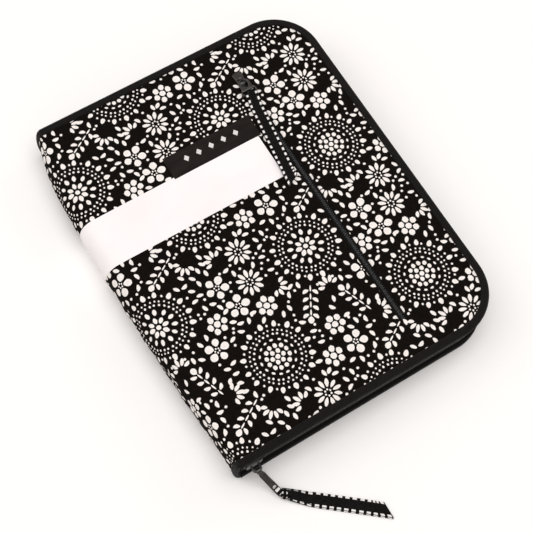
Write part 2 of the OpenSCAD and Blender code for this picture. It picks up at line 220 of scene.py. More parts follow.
def outer_fabrics():
    paper = Shader("paper_band", (0.93, 0.86, 0.86), 0.62, specular=0.2)
    paper.colour(paper.noise(35, 4), (0.3, (0.88, 0.825, 0.832)), (0.75, (0.93, 0.89, 0.888)))
    satin = Shader("woven_label", (0.009, 0.009, 0.009), 0.7, specular=0.08, Sheen_Weight=0.03)
    grain = satin.noise(420, 3, (0.2, 1, 1))
    satin.colour(grain, (0.3, (0.0085, 0.0064, 0.0058)), (0.8, (0.019, 0.0145, 0.0132)))
    ribbon = Shader("ribbon_black", (0.006, 0.005, 0.005), 0.85, specular=0.05, Sheen_Weight=0.03)
    flow = ribbon.coords("UV")
    ribbon.colour(ribbon.noise(600, 3), (0.3, (0.005, 0.0042, 0.004)), (0.8, (0.011, 0.0095, 0.009)))
    dash = Shader("ribbon_white", (0.86, 0.84, 0.82), 0.7, specular=0.25)
    dash.colour(dash.noise(600, 3), (0.3, (0.74, 0.71, 0.69)), (0.8, (0.9, 0.87, 0.85)))
    black, white = (0.0042, 0.0028, 0.0022), (0.80, 0.745, 0.71)
    return {
        "cloth": cotton("printed_cotton_black", black, (0.0080, 0.0058, 0.0048), sheen=0.0),
        "ink": cotton("printed_cotton_white", white, (0.93, 0.88, 0.845), sheen=0.0),
        "binding": ribbed("twill_binding", (0.0044, 0.0036, 0.0032), (0.0115, 0.0095, 0.0085),
                          0.62, 0.15, 0.10),
        "tape": ribbed("zip_tape", (0.006, 0.0052, 0.005), (0.014, 0.012, 0.012), 0.75, 0.08, 0.08),
        "fold": ribbed("pocket_zip_fold", (0.0036, 0.0034, 0.0033), (0.0088, 0.0083, 0.008),
                       1.05, 0.12, 0.04),
        "thread": ribbed("stitching", (0.008, 0.007, 0.007), (0.02, 0.018, 0.018), 0.3, 0.03),
        "paper": paper.bump(paper.noise(28, 2), 0.25, 0.5).bump(paper.noise(700, 3), 0.02),
        "satin": satin.bump(satin.wave(0.3 * MM, "Y"), 0.03).bump(satin.noise(40, 2), 0.2),
        "motif": cotton("label_motif", (0.62, 0.60, 0.59), (0.78, 0.76, 0.75), sheen=0.0),
        "ribbon": ribbon.bump(ribbon.wave(0.45, "X", flow), 0.05),
        "dash": dash.bump(dash.wave(0.3 * MM, "X"), 0.03),
    }


def hardware():
    # Zip coil: its base colour is set lighter than the black nylon so the turns show as pale glints along the
    # zip. That is partly the coil's own dark grey and partly painted highlight, on top of its real specular
    # shine.
    coil = Shader("nylon_coil", (0.045, 0.043, 0.045), 0.26, specular=0.7)
    dark = Shader("dark_metal", (0.028, 0.026, 0.025), 0.34, metal=0.8, specular=0.5)
    dark.colour(dark.noise(260, 4), (0.3, (0.046, 0.042, 0.039)), (0.8, (0.105, 0.097, 0.090)))
    steel = metal("needle_steel", (0.36, 0.36, 0.375), 0.40, 0.05)
    return {
        "coil": coil.rough(coil.noise(600, 2), 0.20, 0.34).bump(coil.noise(1500, 2), 0.01),
        "dark": dark.rough(dark.noise(500, 4), 0.26, 0.42).bump(dark.noise(1200, 2), 0.01),
        "steel": steel.bump(steel.noise(300, 2, (6, 0.3, 6)), 0.002),
        "nickel": metal("nickel_plate", (0.66, 0.65, 0.64), 0.18),
    }


def inner_materials():
    net = Shader("nylon_net", (0.012, 0.012, 0.013), 0.55, specular=0.4)
    stitch = Shader("lining_stitches", (0.05, 0.05, 0.052), 0.8, specular=0.1)
    stitch.colour(stitch.noise(500, 3), (0.3, (0.03, 0.03, 0.031)), (0.8, (0.09, 0.09, 0.092)))
    cable = Shader("coated_cable", (0.42, 0.010, 0.018), 0.30, specular=0.5, Coat_Weight=0.4)
    cable.colour(cable.noise(300, 3), (0.3, (0.36, 0.008, 0.014)), (0.8, (0.50, 0.016, 0.026)))
    cap = Shader("cap_plastic", (0.02, 0.02, 0.02), 0.38, specular=0.5)
    cap.colour(cap.noise(300, 3), (0.3, (0.016, 0.016, 0.017)), (0.8, (0.030, 0.030, 0.032)))
    dyed = (0.010, 0.010, 0.011), (0.020, 0.020, 0.022)
    return {
        "lining": cotton("lining", *dyed),
        "board": cotton("dyed_board", *dyed),
        "net": net.bump(net.noise(900, 3), 0.03),
        "elastic": ribbed("elastic", (0.010, 0.010, 0.010), (0.030, 0.028, 0.028), 1.0, 0.14),
        "stitch": stitch.bump(stitch.noise(1500, 2), 0.02),
        "cable": cable.bump(cable.noise(800, 2), 0.01),
        "cap": cap.bump(cap.noise(1200, 3), 0.02),
    }


MATS = {**outer_fabrics(), **hardware(), **inner_materials()}


# ================= mesh helpers =================


def piece(name, verts, faces, mats, body, replaces=(), flow=None, index=None, smooth=True):
    """Makes a mesh piece from millimetre points; flow is a UV map in millimetres."""
    mesh = bpy.data.meshes.new(name)
    mesh.from_pydata((np.asarray(verts, float) * MM).tolist(), [], [list(f) for f in faces])
    for key in mats:
        mesh.materials.append(MATS[key].mat)
    if index is not None:
        mesh.polygons.foreach_set("material_index", np.asarray(index, np.int32))
    mesh.polygons.foreach_set("use_smooth", np.full(len(mesh.polygons), smooth))
    if flow is not None:
        layer = mesh.uv_layers.new(name="flow")
        loops = np.empty(len(mesh.loops), np.int32)
        mesh.loops.foreach_get("vertex_index", loops)
        layer.data.foreach_set("uv", np.asarray(flow, np.float32)[loops].ravel())
    mesh.update()
    made = bpy.data.objects.new(name, mesh)
    bpy.context.scene.collection.objects.link(made)
    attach(made, body)
    if replaces:
        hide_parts(*replaces)
    return made


def thicken(made, amount, offset=-1.0, inner=0):
    """Gives a sheet its thickness, in millimetres; inner shifts the material of its far side."""
    modifier = made.modifiers.new("thickness", "SOLIDIFY")
    modifier.thickness = amount * MM
    modifier.offset = offset
    modifier.material_offset = inner
    modifier.material_offset_rim = inner
    apply_modifiers(made)
    made.data.set_sharp_from_angle(angle=math.radians(50))


def bevel(made, width, segments=2):
    modifier = made.modifiers.new("edges", "BEVEL")
    modifier.width = width * MM
    modifier.segments = segments
    modifier.limit_method = "ANGLE"
    modifier.angle_limit = math.radians(40)
    modifier.harden_normals = False
    apply_modifiers(made)


def apply_modifiers(made):
    graph = bpy.context.evaluated_depsgraph_get()
    mesh = bpy.data.meshes.new_from_object(made.evaluated_get(graph))
    made.modifiers.clear()
    made.data = mesh


def dressed(node, key):
    """Gives a CAD node that stays in view its material."""
    mesh = nodes[node].data
    mesh.materials.clear()
    mesh.materials.append(MATS[key].mat)


def unit(vectors):
    return vectors / np.linalg.norm(vectors, axis=-1, keepdims=True)


def run_along(points):
    """Distance travelled at each point of a path."""
    return np.concatenate([[0], np.cumsum(np.linalg.norm(np.diff(points, axis=0), axis=1))])


def quad(row, column, wide):
    """Corners of one cell in a grid of points, wide to a row."""
    a = row * wide + column
    return a, a + 1, a + wide + 1, a + wide


def lattice(rows, wide):
    return [quad(k, c, wide) for k in range(rows - 1) for c in range(wide - 1)]


def skin(rings, sides, cyclic=False):
    """Faces over rings of points, with flat ends unless they close on themselves."""
    faces = []
    for i in range(rings if cyclic else rings - 1):
        a, b = i * sides, (i + 1) % rings * sides
        for k in range(sides):
            j = (k + 1) % sides
            faces.append((a + k, a + j, b + j, b + k))
    if not cyclic:
        faces += [tuple(range(sides - 1, -1, -1)), tuple(range((rings - 1) * sides, rings * sides))]
    return faces


def triangulate(rings, steiner):
    """Triangles inside the first ring; owners says which rings each one lies in."""
    points, loops = [], []
    for ring in rings:
        loops.append(list(range(len(points), len(points) + len(ring))))
        points.extend(Vector(p) for p in ring)
    points.extend(Vector(p) for p in steiner)
    made = delaunay_2d_cdt(points, [], loops, 0, 1e-5)
    keep = [(f, owners) for f, owners in zip(made[2], made[5]) if 0 in owners]
    return np.array([tuple(p) for p in made[0]]), keep


def flat_sheet(outline, holes, ink, grid, extra=()):
    """Cuts ink shapes and holes into a flat sheet: points, triangles and ink flags."""
    low, high = np.min(outline, 0), np.max(outline, 0)
    near = [
        ring for ring in ink
        if np.all(np.max(ring, 0) > low) and np.all(np.min(ring, 0) < high)
    ]
    steiner = list(extra)
    rows = int((high[1] - low[1]) / grid)
    for row in range(1, rows):
        y = low[1] + (high[1] - low[1]) * row / rows
        count = int((high[0] - low[0]) / grid)
        for k in range(1, count):
            steiner.append((low[0] + (high[0] - low[0]) * (k + 0.5 * (row % 2)) / (count + 0.5), y))
    points, keep = triangulate([outline, *holes, *near], steiner)
    cut = set(range(1, 1 + len(holes)))
    keep = [(f, owners) for f, owners in keep if not cut & set(owners)]
    used = sorted({i for f, _ in keep for i in f})
    place = {old: new for new, old in enumerate(used)}
    triangles = [[place[i] for i in f] for f, _ in keep]
    flags = [1 if max(owners) > len(holes) else 0 for _, owners in keep]
    return points[used], triangles, flags


def smooth01(t):
    t = np.clip(t, 0, 1)
    return t * t * (3 - 2 * t)


def soft_noise(x, y, scale, seed):
    """Smooth waves from a few seeded sines, roughly in -1..1."""
    local = random.Random(seed)
    total = np.zeros_like(np.asarray(x, float))
    for _ in range(6):
        angle = local.uniform(0, TAU)
        length = scale * local.uniform(0.6, 1.7)
        phase = local.uniform(0, TAU)
        total += np.sin((x * math.cos(angle) + y * math.sin(angle)) * TAU / length + phase)
    return total / 3.2


def sweep(name, centre, across, up, profile, run, mats, body, slot, replaces=(), cyclic=False):
    """Closed profile (p, q) carried along centre: each ring is centre + across p + up q."""
    centre, across, up = (np.asarray(a, float) for a in (centre, across, up))
    profile = np.asarray(profile, float)
    n, m = len(centre), len(profile)
    verts = (
        centre[:, None] + across[:, None] * profile[None, :, :1] + up[:, None] * profile[None, :, 1:]
    ).reshape(-1, 3)
    flow = np.stack([np.repeat(run, m), np.tile(run_along(profile), n)], -1)
    return piece(name, verts, skin(n, m, cyclic), mats, body, replaces, flow)


def tube(points, radius, sides=8):
    """Vertices and faces of a round tube through points, in millimetres."""
    points = np.asarray(points, float)
    tangent = unit(np.gradient(points, axis=0))
    normal = np.zeros_like(points)
    first = np.array(UP) if abs(tangent[0][2]) < 0.9 else np.array([1.0, 0, 0])
    last = first - tangent[0] * (first @ tangent[0])
    for i, t in enumerate(tangent):
        last = unit(last - t * (last @ t))
        normal[i] = last
    side = np.cross(tangent, normal)
    angle = np.arange(sides) * TAU / sides
    ring = np.cos(angle)[None, :, None] * normal[:, None] + np.sin(angle)[None, :, None] * side[:, None]
    return (points[:, None] + ring * radius).reshape(-1, 3), skin(len(points), sides)


class Soup:
    """Collects many small closed shapes into one piece."""

    def __init__(self):
        self.verts, self.faces, self.index = [], [], []

    def add(self, verts, faces, material=0):
        start = sum(len(v) for v in self.verts)
        self.verts.append(np.asarray(verts, float))
        self.faces.extend([tuple(i + start for i in f) for f in faces])
        self.index.extend([material] * len(faces))

    def tube(self, points, radius, sides=8):
        self.add(*tube(points, radius, sides))

    def plate(self, place, outline, holes, low, high):
        verts, faces = prism(outline, holes, low, high)
        self.add(place(verts), faces)

    def make(self, name, mats, body, slot, replaces=()):
        verts = np.concatenate(self.verts)
        return piece(name, verts, self.faces, mats, body, replaces, index=self.index)


def prism(outline, holes, low, high):
    """Verts and faces of a flat plate between two heights, with holes."""
    points, keep = triangulate([outline, *holes], [])
    cut = set(range(1, 1 + len(holes)))
    triangles = [list(f) for f, owners in keep if not cut & set(owners)]
    n = len(points)
    verts = [(*p, high) for p in points] + [(*p, low) for p in points]
    faces = [tuple(f) for f in triangles] + [tuple(i + n for i in reversed(f)) for f in triangles]
    edges = {}
    for f in triangles:
        for a, b in zip(f, f[1:] + f[:1]):
            edges[(a, b)] = edges.get((a, b), 0) + 1
    for a, b in edges:
        if (b, a) not in edges:
            faces.append((a, a + n, b + n, b))
    return np.array(verts), faces


def arc(cx, cy, r, start, end, count):
    return [
        (cx + r * math.cos(math.radians(start + (end - start) * k / count)),
         cy + r * math.sin(math.radians(start + (end - start) * k / count)))
        for k in range(count + 1)
    ]


# ================= outline of the case =================


def edge_path(from_x=HINGE_X, inset=0.0, step=2.0):
    """Points, inward normals and run along the three open sides, from -Y round to +Y."""
    x1, y1, r = HALF_W - CORNER_R, HALF_L - CORNER_R, CORNER_R
    rows = []
    count = max(2, round((x1 - from_x) / step))
    for k in range(count):
        rows.append((from_x + (x1 - from_x) * k / count, -HALF_L, 0.0, 1.0))
    turn = max(8, round(r * math.pi / 2 / step * 1.5))
    for k in range(turn):
        a = -math.pi / 2 + math.pi / 2 * k / turn
        rows.append((x1 + r * math.cos(a), -y1 + r * math.sin(a), -math.cos(a), -math.sin(a)))
    side = round(2 * y1 / step)
    for k in range(side):
        rows.append((HALF_W, -y1 + 2 * y1 * k / side, -1.0, 0.0))
    for k in range(turn):
        a = math.pi / 2 * k / turn
        rows.append((x1 + r * math.cos(a), y1 + r * math.sin(a), -math.cos(a), -math.sin(a)))
    for k in range(count + 1):
        rows.append((x1 + (from_x - x1) * k / count, HALF_L, 0.0, -1.0))
    rows = np.array(rows)
    normal = rows[:, 2:]
    points = rows[:, :2] + normal * inset
    return points, normal, run_along(points)


def edge_frame(points, normal, z, side):
    """Centre line, inward and upward directions of a strip along a cover's edge."""
    n = len(points)
    centre = np.column_stack([points, np.full(n, z)])
    return centre, np.column_stack([normal, np.zeros(n)]), np.tile([0.0, 0.0, float(side)], (n, 1))


def cover_outline(inset, from_x=HINGE_X):
    points, _, _ = edge_path(from_x, inset, 2.4)
    left = [(from_x, y) for y in np.linspace(points[-1][1], points[0][1], 60)[1:-1]]
    return [tuple(p) for p in points] + left


def edge_distance(x, y):
    """How far a point lies inside the case's outline on its three open sides."""
    x1, y1 = HALF_W - CORNER_R, HALF_L - CORNER_R
    dx, dy = np.maximum(x - x1, 0), np.maximum(np.abs(y) - y1, 0)
    return CORNER_R - np.hypot(dx, dy)


# ================= the printed cloth =================

REPEAT = 86.0          # the print repeats on a square of this side
FIRST_U = 9.0          # a medallion's centre on the cloth
FIRST_V = -24.0
MEDALLION_R = 19.6
SPREAD = 12.0          # how far a motif may reach past the repeat
PLACE_TRIES = 300


def wobble(size):
    return rng.uniform(-size, size)


def petal(x, y, angle, length, width, bend=0.0, fat=1.0):
    """Outline of a petal or leaf centred on (x, y); fat above 1 puts its weight at the far end."""
    steps = 6
    ca, sa = math.cos(math.radians(angle)), math.sin(math.radians(angle))
    left, right = [], []
    for k in range(steps + 1):
        t = 0.03 + 0.94 * (1 - math.cos(math.pi * k / steps)) / 2
        along = (t - 0.5) * length
        curve = bend * length * (4 * t * (1 - t) - 0.6)
        half = width * 0.54 * math.sin(math.pi * t ** fat) ** 0.62
        half *= 1 + wobble(0.06)
        left.append((along, curve + half))
        right.append((along, curve - half))
    ring = right + left[::-1]
    return [(x + a * ca - b * sa, y + a * sa + b * ca) for a, b in ring]


def dot(x, y, r, squeeze=1.0, sides=8):
    turn = rng.uniform(0, TAU)
    return [
        (x + r * (1 + wobble(0.1)) * math.cos(turn + TAU * k / sides),
         y + r * squeeze * (1 + wobble(0.1)) * math.sin(turn + TAU * k / sides))
        for k in range(sides)
    ]


def around(x, y, r, angle):
    return x + r * math.cos(math.radians(angle)), y + r * math.sin(math.radians(angle))


def petal_ring(x, y, count, r, length, width, turn=0.0, tilt=0.0, fat=1.0):
    """Petals standing evenly round a centre."""
    out = []
    for k in range(count):
        angle = turn + 360 / count * k + wobble(2)
        size = 1 + wobble(0.08)
        out.append(petal(*around(x, y, r, angle), angle + tilt, length * size, width * size, 0, fat))
    return out


def dot_ring(x, y, count, r, size, turn=0.0, sides=7):
    return [
        dot(*around(x, y, r + wobble(0.15), turn + 360 / count * k + wobble(1)), size, 1.1, sides)
        for k in range(count)
    ]


def medallion(x, y, core):
    """A wheel of petals and dots round a core."""
    out = petal_ring(x, y, 16, 17.3, 3.4, 2.3, fat=0.8) + dot_ring(x, y, 16, 16.6, 0.6, 11.25)
    for count, r, size in ((36, 13.9, 0.5), (30, 11.9, 0.6)):
        out += dot_ring(x, y, count, r, size)
    return out + core(x, y)


def rosette(x, y):
    """Two rounds of petals about a dot."""
    return [dot(x, y, 1.3)] + petal_ring(x, y, 8, 3.9, 3.6, 2.2) + petal_ring(x, y, 12, 8.2, 3.2, 1.9, 15)


def berries(x, y):
    """Two rounds of berries with short leaves outside."""
    out = [dot(x, y, 1.3)] + dot_ring(x, y, 6, 3.1, 1.2) + dot_ring(x, y, 12, 5.9, 1.15, 15)
    return out + petal_ring(x, y, 15, 9.0, 2.0, 1.1, 8, 90)


def blossom(x, y, turn):
    """Five round petals and a dotted middle."""
    return petal_ring(x, y, 5, 4.1, 4.6, 3.8, turn, 0, 1.2) + dot_ring(x, y, 5, 1.2, 0.45, turn + 36)


def daisy(x, y, turn):
    return petal_ring(x, y, 11, 4.9, 4.5, 1.8, turn, 0, 1.2) + dot_ring(x, y, 6, 1.6, 0.5, turn)


def cluster(x, y, turn):
    """Berries packed round one, with two leaves."""
    out = [dot(x, y, 1.7)] + dot_ring(x, y, 6, 3.9, 1.65, turn)
    for side in (-25, 25):
        out.append(petal(*around(x, y, 7.9, turn + side), turn + side, 3.8, 1.9))
    return out


def sprig(x, y, turn):
    """A stem of dashes with paired leaves and a bud at its tip."""
    out = [petal(*around(x, y, 8.4, turn), turn, 4.0, 3.0, 0, 1.2)]
    for k in range(4):
        foot = around(x, y, 4.3 * k - 8.4, turn)
        out.append(petal(*foot, turn, 3.5, 0.8))
        for side in (-1, 1):
            leaf = turn + 55 * side
            out.append(petal(*around(*foot, 3.1, leaf), leaf, 3.6, 1.8, 0.1 * side))
    return out


def fan(x, y, turn):
    """Five leaves spreading from one foot."""
    out = []
    for k in range(-2, 3):
        angle = turn + 36 * k
        out.append(petal(*around(x, y, 4.2, angle), angle, 4.6 - 0.5 * abs(k), 1.8, 0.04 * k))
    return out


def leaf(x, y, turn):
    return [petal(x, y, turn, 3.8, 1.8, wobble(0.12))]


def seed(x, y, _turn):
    return [dot(x, y, 0.75)]


def across(a, b):
    """Distance between two places on the repeat, whose edges join up."""
    gaps = [abs(p - q) % REPEAT for p, q in zip(a, b)]
    return math.hypot(*[min(gap, REPEAT - gap) for gap in gaps])


def free_place(taken, radius):
    """A random place on the repeat that keeps clear of those taken, or None."""
    for _ in range(PLACE_TRIES):
        spot = (rng.uniform(0, REPEAT), rng.uniform(0, REPEAT))
        if all(across(spot, other[:2]) > radius + other[2] for other in taken):
            taken.append((*spot, radius))
            return spot
    return None


def tile_shapes():
    """One repeat of the print: two medallions half a repeat apart and motifs strewn between them."""
    half = REPEAT / 2
    out = medallion(0, 0, rosette) + medallion(half, half, berries)
    taken = [(0, 0, MEDALLION_R), (half, half, MEDALLION_R)]
    large = [(sprig, 8.6), (cluster, 6.8), (blossom, 6.4), (daisy, 7.3), (fan, 4.6)]
    for motif, radius in large * 5 + [(leaf, 2.0)] * 60 + [(seed, 1.0)] * 50:
        spot = free_place(taken, radius)
        if spot:
            out += motif(*spot, rng.uniform(0, 360))
    return out


def printed(u0, u1, v0, v1):
    """The print's outlines over a stretch of cloth."""
    out = []
    for du in repeats(u0, u1, FIRST_U):
        for dv in repeats(v0, v1, FIRST_V):
            out.extend([(x + du, y + dv) for x, y in ring] for ring in TILE)
    return out


def repeats(start, end, first):
    """Offsets of the repeats that reach into a stretch from start to end."""
    low, high = MEDALLION_R, REPEAT + SPREAD
    numbers = range(math.floor((start - high - first) / REPEAT), math.ceil((end + low - first) / REPEAT) + 1)
    offsets = (first + k * REPEAT for k in numbers)
    return [offset for offset in offsets if offset - low <= end and offset + high >= start]


TILE = tile_shapes()


def cover_height(x, y):
    """Height of the printed cloth on a cover above its flat, in millimetres."""
    d = edge_distance(x, y) - BIND
    dip = -0.42 * (1 - smooth01(d / 5 + 0.15))
    hinge = -0.25 * (1 - smooth01((x - HINGE_X) / 8))
    waves = 0.10 * soft_noise(x, y, 46, 3) * smooth01(d / 12) * smooth01((x - HINGE_X) / 10)
    return np.maximum(dip + hinge, -0.46) + waves


def pocket_lip(x, y):
    """The turned edges beside the pocket zip: a low ridge, then a roll down into the slot."""
    d = np.abs(x - POCKET_X) - POCKET_SLOT
    inside = smooth01((POCKET_HALF + 1.5 - np.abs(y)) / 3)
    return inside * (0.16 * np.exp(-((d - 1.1) / 0.9) ** 2) - 0.5 * np.exp(-(np.maximum(d, 0) / 0.3) ** 2))


def front_surface(u, v):
    return np.stack([u, v, CLOTH_Z - 0.1 + cover_height(u, v) + pocket_lip(u, v)], -1)


def back_surface(u, v):
    x = -(u + SPINE_RUN) + 2 * HINGE_X
    return np.stack([x, v, TOP - CLOTH_Z - cover_height(x, v) * 0.9 + 0.05], -1)


def bulge(y):
    """How far the padded spine stands out beyond the fold lines."""
    y = np.asarray(y, float)
    up = np.clip(np.abs(y - 30) / 72, 0, 1.05) ** 4
    down = np.clip(np.abs(30 - y) / 132, 0, 1.05) ** 1.6
    return 2.4 + 6.2 * (1 - np.where(y >= 30, up, down))


def ellipse_table(a, b):
    angle = np.linspace(0, math.pi, 400)
    steps = np.hypot(a * np.cos(angle), b * np.sin(angle))
    run = np.concatenate([[0], np.cumsum((steps[1:] + steps[:-1]) / 2 * np.diff(angle))])
    return angle, run


ANGLES, RUNS = ellipse_table(SPINE_A, SPINE_B)
SPINE_RUN = float(RUNS[-1])


def spine_point(s, y, lift=0.0):
    """Point of the spine's skin, s millimetres round it from the front fold."""
    angle = np.interp(s, RUNS, ANGLES)
    crease = 0.22 * soft_noise(s * 2.2, y, 17, 9) + 0.18 * soft_noise(s, y * 0.6, 9, 4)
    a = bulge(y) + lift + crease * np.sin(angle)
    b = SPINE_B + lift
    return np.stack([HINGE_X - a * np.sin(angle), y + 0 * s, MID_Z + b * np.cos(angle)], -1)


def spine_surface(u, v):
    return spine_point(HINGE_X - u, v)


def cloth(name, outline, surface, holes, extra, body, replaced, grid, thick):
    low, high = np.min(outline, 0), np.max(outline, 0)
    ink = printed(low[0], high[0], low[1], high[1])
    points, faces, flags = flat_sheet(outline, holes, ink, grid, extra)
    mats = ("cloth", "ink", "cloth", "cloth")
    verts = surface(points[:, 0], points[:, 1])
    made = piece(name, verts, faces, mats, body, replaced, index=flags)
    thicken(made, thick, inner=2)
    return made


def build_front_cloth(outline):
    left, right = POCKET_X - POCKET_SLOT, POCKET_X + POCKET_SLOT
    slot_ring = [(left, y) for y in np.linspace(POCKET_HALF, -POCKET_HALF, 90)]
    slot_ring += [(right, y) for y in np.linspace(-POCKET_HALF, POCKET_HALF, 90)]
    extra = []
    for d in (0.22, 0.5, 0.95, 1.6, 2.3):
        for y in np.arange(-POCKET_HALF - 1, POCKET_HALF + 1.1, 1.5):
            extra += [(left - d, y), (right + d, y)]
    cloth("front_cloth", outline, front_surface, [slot_ring], extra, "front_cover",
          ("front_fabric", "front_foam"), 2.6, 0.45)


def build_cloth():
    outline = cover_outline(BIND - 0.5)
    build_front_cloth(outline)
    back = [(2 * HINGE_X - SPINE_RUN - x, y) for x, y in reversed(outline)]
    cloth("back_cloth", back, back_surface, [], [], "back_cover",
          ("back_fabric", "back_foam"), 3.2, 0.4)
    ring = [(HINGE_X - SPINE_RUN, v) for v in np.linspace(SPINE_HALF, -SPINE_HALF, 80)]
    ring += [(HINGE_X, v) for v in np.linspace(-SPINE_HALF, SPINE_HALF, 80)]
    spine = cloth("spine_cloth", ring, spine_surface, [], [], "spine",
                  ("spine_fabric", "spine_foam"), 1.4, 0.5)
    fold_flat(spine)


def fold_flat(made):
    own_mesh(made)


# ================= binding, band and label =================


def rounded_section(inner, low, high, r=0.9, bulged=0.5):
    """Closed section of the binding from inset 0 to inner, between two heights."""
    rings = []
    corners = (
        (r * 1.4, high - r * 1.4, 180, 90, r * 1.4), (inner - r * 0.6, high - r * 0.6, 90, 0, r * 0.6),
        (inner - r * 0.5, low + r * 0.5, 0, -90, r * 0.5), (r, low + r, 270, 180, r),
    )
    for cx, cy, start, end, radius in corners:
        rings += arc(cx, cy, radius, start, end, 5)
    out = []
    for d, z in rings:
        out.append((d - bulged * max(0, 1 - abs(z - (low + high) / 2) / 2.2) * (d < 1), z))
    return out


def build_binding():
    for word, side in SIDES:
        points, normal, run = edge_path(HINGE_X + 0.3, 0, 1.6)
        centre, across, up = edge_frame(points, normal, MID_Z, side)
        pucker = 0.05 * soft_noise(run, 0 * run, 7, 21)
        section = rounded_section(BIND, 7.95, 12.5)[::side]
        made = sweep(f"{word}_binding_strip", centre, across, up * (1 + pucker / 12)[:, None], section, run,
                     ("binding",), f"{word}_cover", "black_binding", (f"{word}_binding",))
    for end in (-1, 1):
        build_spine_end(end)


def build_spine_end(end):
    """Binding over one end of the padded spine."""
    angle = np.linspace(-0.06, math.pi + 0.06, 48)
    a, b = 2.6, 11.9
    x, z = HINGE_X - a * np.sin(angle), MID_Z + b * np.cos(angle)
    centre = np.stack([x, np.full(48, end * SPINE_END), z], -1)
    outward = unit(np.stack([-b * np.sin(angle), 0 * angle, a * np.cos(angle)], -1))
    along = np.tile([0.0, float(end), 0.0], (48, 1))
    run = run_along(centre)
    section = arc(-1.7, 0.1, 0.45, 90, 180, 4) + arc(-1.7, -1.3, 0.45, 180, 270, 3)
    section += arc(1.3, -1.2, 0.6, 270, 360, 3) + arc(0.2, -1.1, 1.75, 20, 90, 6)
    if end > 0:
        section = section[::-1]
    word = "low" if end < 0 else "high"
    made = sweep(f"spine_binding_{word}", centre, along, outward, section, run, ("binding",), "spine",
                 "black_binding", ("spine_binding",))
    fold_flat(made)
    turns = np.linspace(0.05, math.pi - 0.05, 24)
    plug = [(HINGE_X - 2.1 * math.sin(t), MID_Z + 11.3 * math.cos(t)) for t in turns]
    plug += [(HINGE_X + 0.6, MID_Z - 9.8), (HINGE_X + 0.6, MID_Z + 9.8)]
    verts, faces = prism(plug, [], end * SPINE_END - 1.5, end * SPINE_END + 1.2)
    soup = Soup()
    soup.add(np.stack([verts[:, 0], verts[:, 2], verts[:, 1]], -1), faces)
    made = soup.make(f"spine_end_fold_{word}", ("cloth",), "spine", "black_binding", ("spine_binding",))
    bevel(made, 0.7, 3)
    fold_flat(made)


def band_front(u, v):
    end = smooth01((u - BAND_X + 5) / 5)
    edge = np.minimum(v - BAND_Y0, BAND_Y1 - v)
    waves = 0.07 * soft_noise(u, v, 38, 12) * smooth01((u - HINGE_X) / 12)
    z = CLOTH_Z + 0.15 + waves + np.minimum(cover_height(u, v), 0)
    return np.stack([u, v, z - 0.08 * (1 - smooth01(edge / 1.2)) - 0.12 * end], -1)


def band_back(u, v):
    x = -(u + SPINE_RUN) + 2 * HINGE_X
    return np.stack([x, v, 0.16 - np.minimum(cover_height(x, v), 0) + 0.05 * soft_noise(x, v, 38, 13)], -1)


def band_spine(u, v):
    return spine_point(HINGE_X - u, v, 0.25)


def strip(name, span, surface, mats, body, replaced, ink=(), grid=2.5, thick=0.18):
    """A rectangular sheet over span (u0, u1, v0, v1), laid on a surface."""
    u0, u1, v0, v1 = span
    across = max(6, int((v1 - v0) / grid))
    along = max(6, int((u1 - u0) / grid))
    ring = [(u, v0) for u in np.linspace(u0, u1, along + 1)[:-1]]
    ring += [(u1, v) for v in np.linspace(v0, v1, across + 1)[:-1]]
    ring += [(u, v1) for u in np.linspace(u1, u0, along + 1)[:-1]]
    ring += [(u0, v) for v in np.linspace(v1, v0, across + 1)[:-1]]
    points, faces, flags = flat_sheet(ring, [], ink, grid)
    made = piece(name, surface(points[:, 0], points[:, 1]), faces, mats, body, replaced, index=flags)
    thicken(made, thick)
    return made


def build_band():
    far = HINGE_X - SPINE_RUN
    strip("band_front", (HINGE_X, BAND_X, BAND_Y0, BAND_Y1), band_front, ("paper",), "front_cover",
          ("front_band",))
    strip("band_back", (HINGE_X + far - BAND_X, far, BAND_Y0, BAND_Y1), band_back, ("paper",), "back_cover",
          ("back_band",), thick=0.12)
    made = strip("band_spine", (far, HINGE_X, BAND_Y0, BAND_Y1), band_spine, ("paper",), "spine",
                 ("spine_band",), grid=1.4)
    fold_flat(made)


def lozenges():
    """Row of small equal lozenges woven in the label, in place of lettering."""
    y = (BAND_Y1 + LABEL_Y1) / 2 + 0.3
    wide, tall, pitch = 1.6, 2.0, 7.5
    places = (LABEL_X0 + LABEL_W / 2 + pitch * k for k in (-2, -1, 0, 1, 2))
    return [[(x - wide, y), (x, y - tall), (x + wide, y), (x, y + tall)] for x in places]


def label_surface(u, v):
    z = CLOTH_Z + 0.12 + np.minimum(cover_height(u, v), 0) + 0.05 * soft_noise(u, v, 24, 31)
    edge = np.minimum(np.minimum(u - LABEL_X0, LABEL_X0 + LABEL_W - u), LABEL_Y1 - v)
    return np.stack([u, v, z + 0.1 * smooth01(edge / 0.8)], -1)


def build_label():
    span = (LABEL_X0, LABEL_X0 + LABEL_W, BAND_Y1 - 1.2, LABEL_Y1)
    strip("label_patch", span, label_surface, ("satin", "motif"), "front_cover",
          ("woven_label",), lozenges(), 1.6, 0.2)


# ================= zips =================

COIL_PITCH = 1.3
STITCH = 2.6


def helix(points, across, up, run, pitch, wide, tall, phase, per_turn=9):
    """Flattened coil round a path; across and up are the section's two directions."""
    s = np.linspace(0, run[-1], int(run[-1] / pitch * per_turn))
    angle = TAU * s / pitch + phase
    square = np.sign(np.cos(angle)) * np.abs(np.cos(angle)) ** 0.8
    middle, out, high = (
        np.stack([np.interp(s, run, a[:, k]) for k in range(3)], -1) for a in (points, across, up)
    )
    return middle + out * (wide * np.sin(angle))[:, None] + high * (tall * square)[:, None]


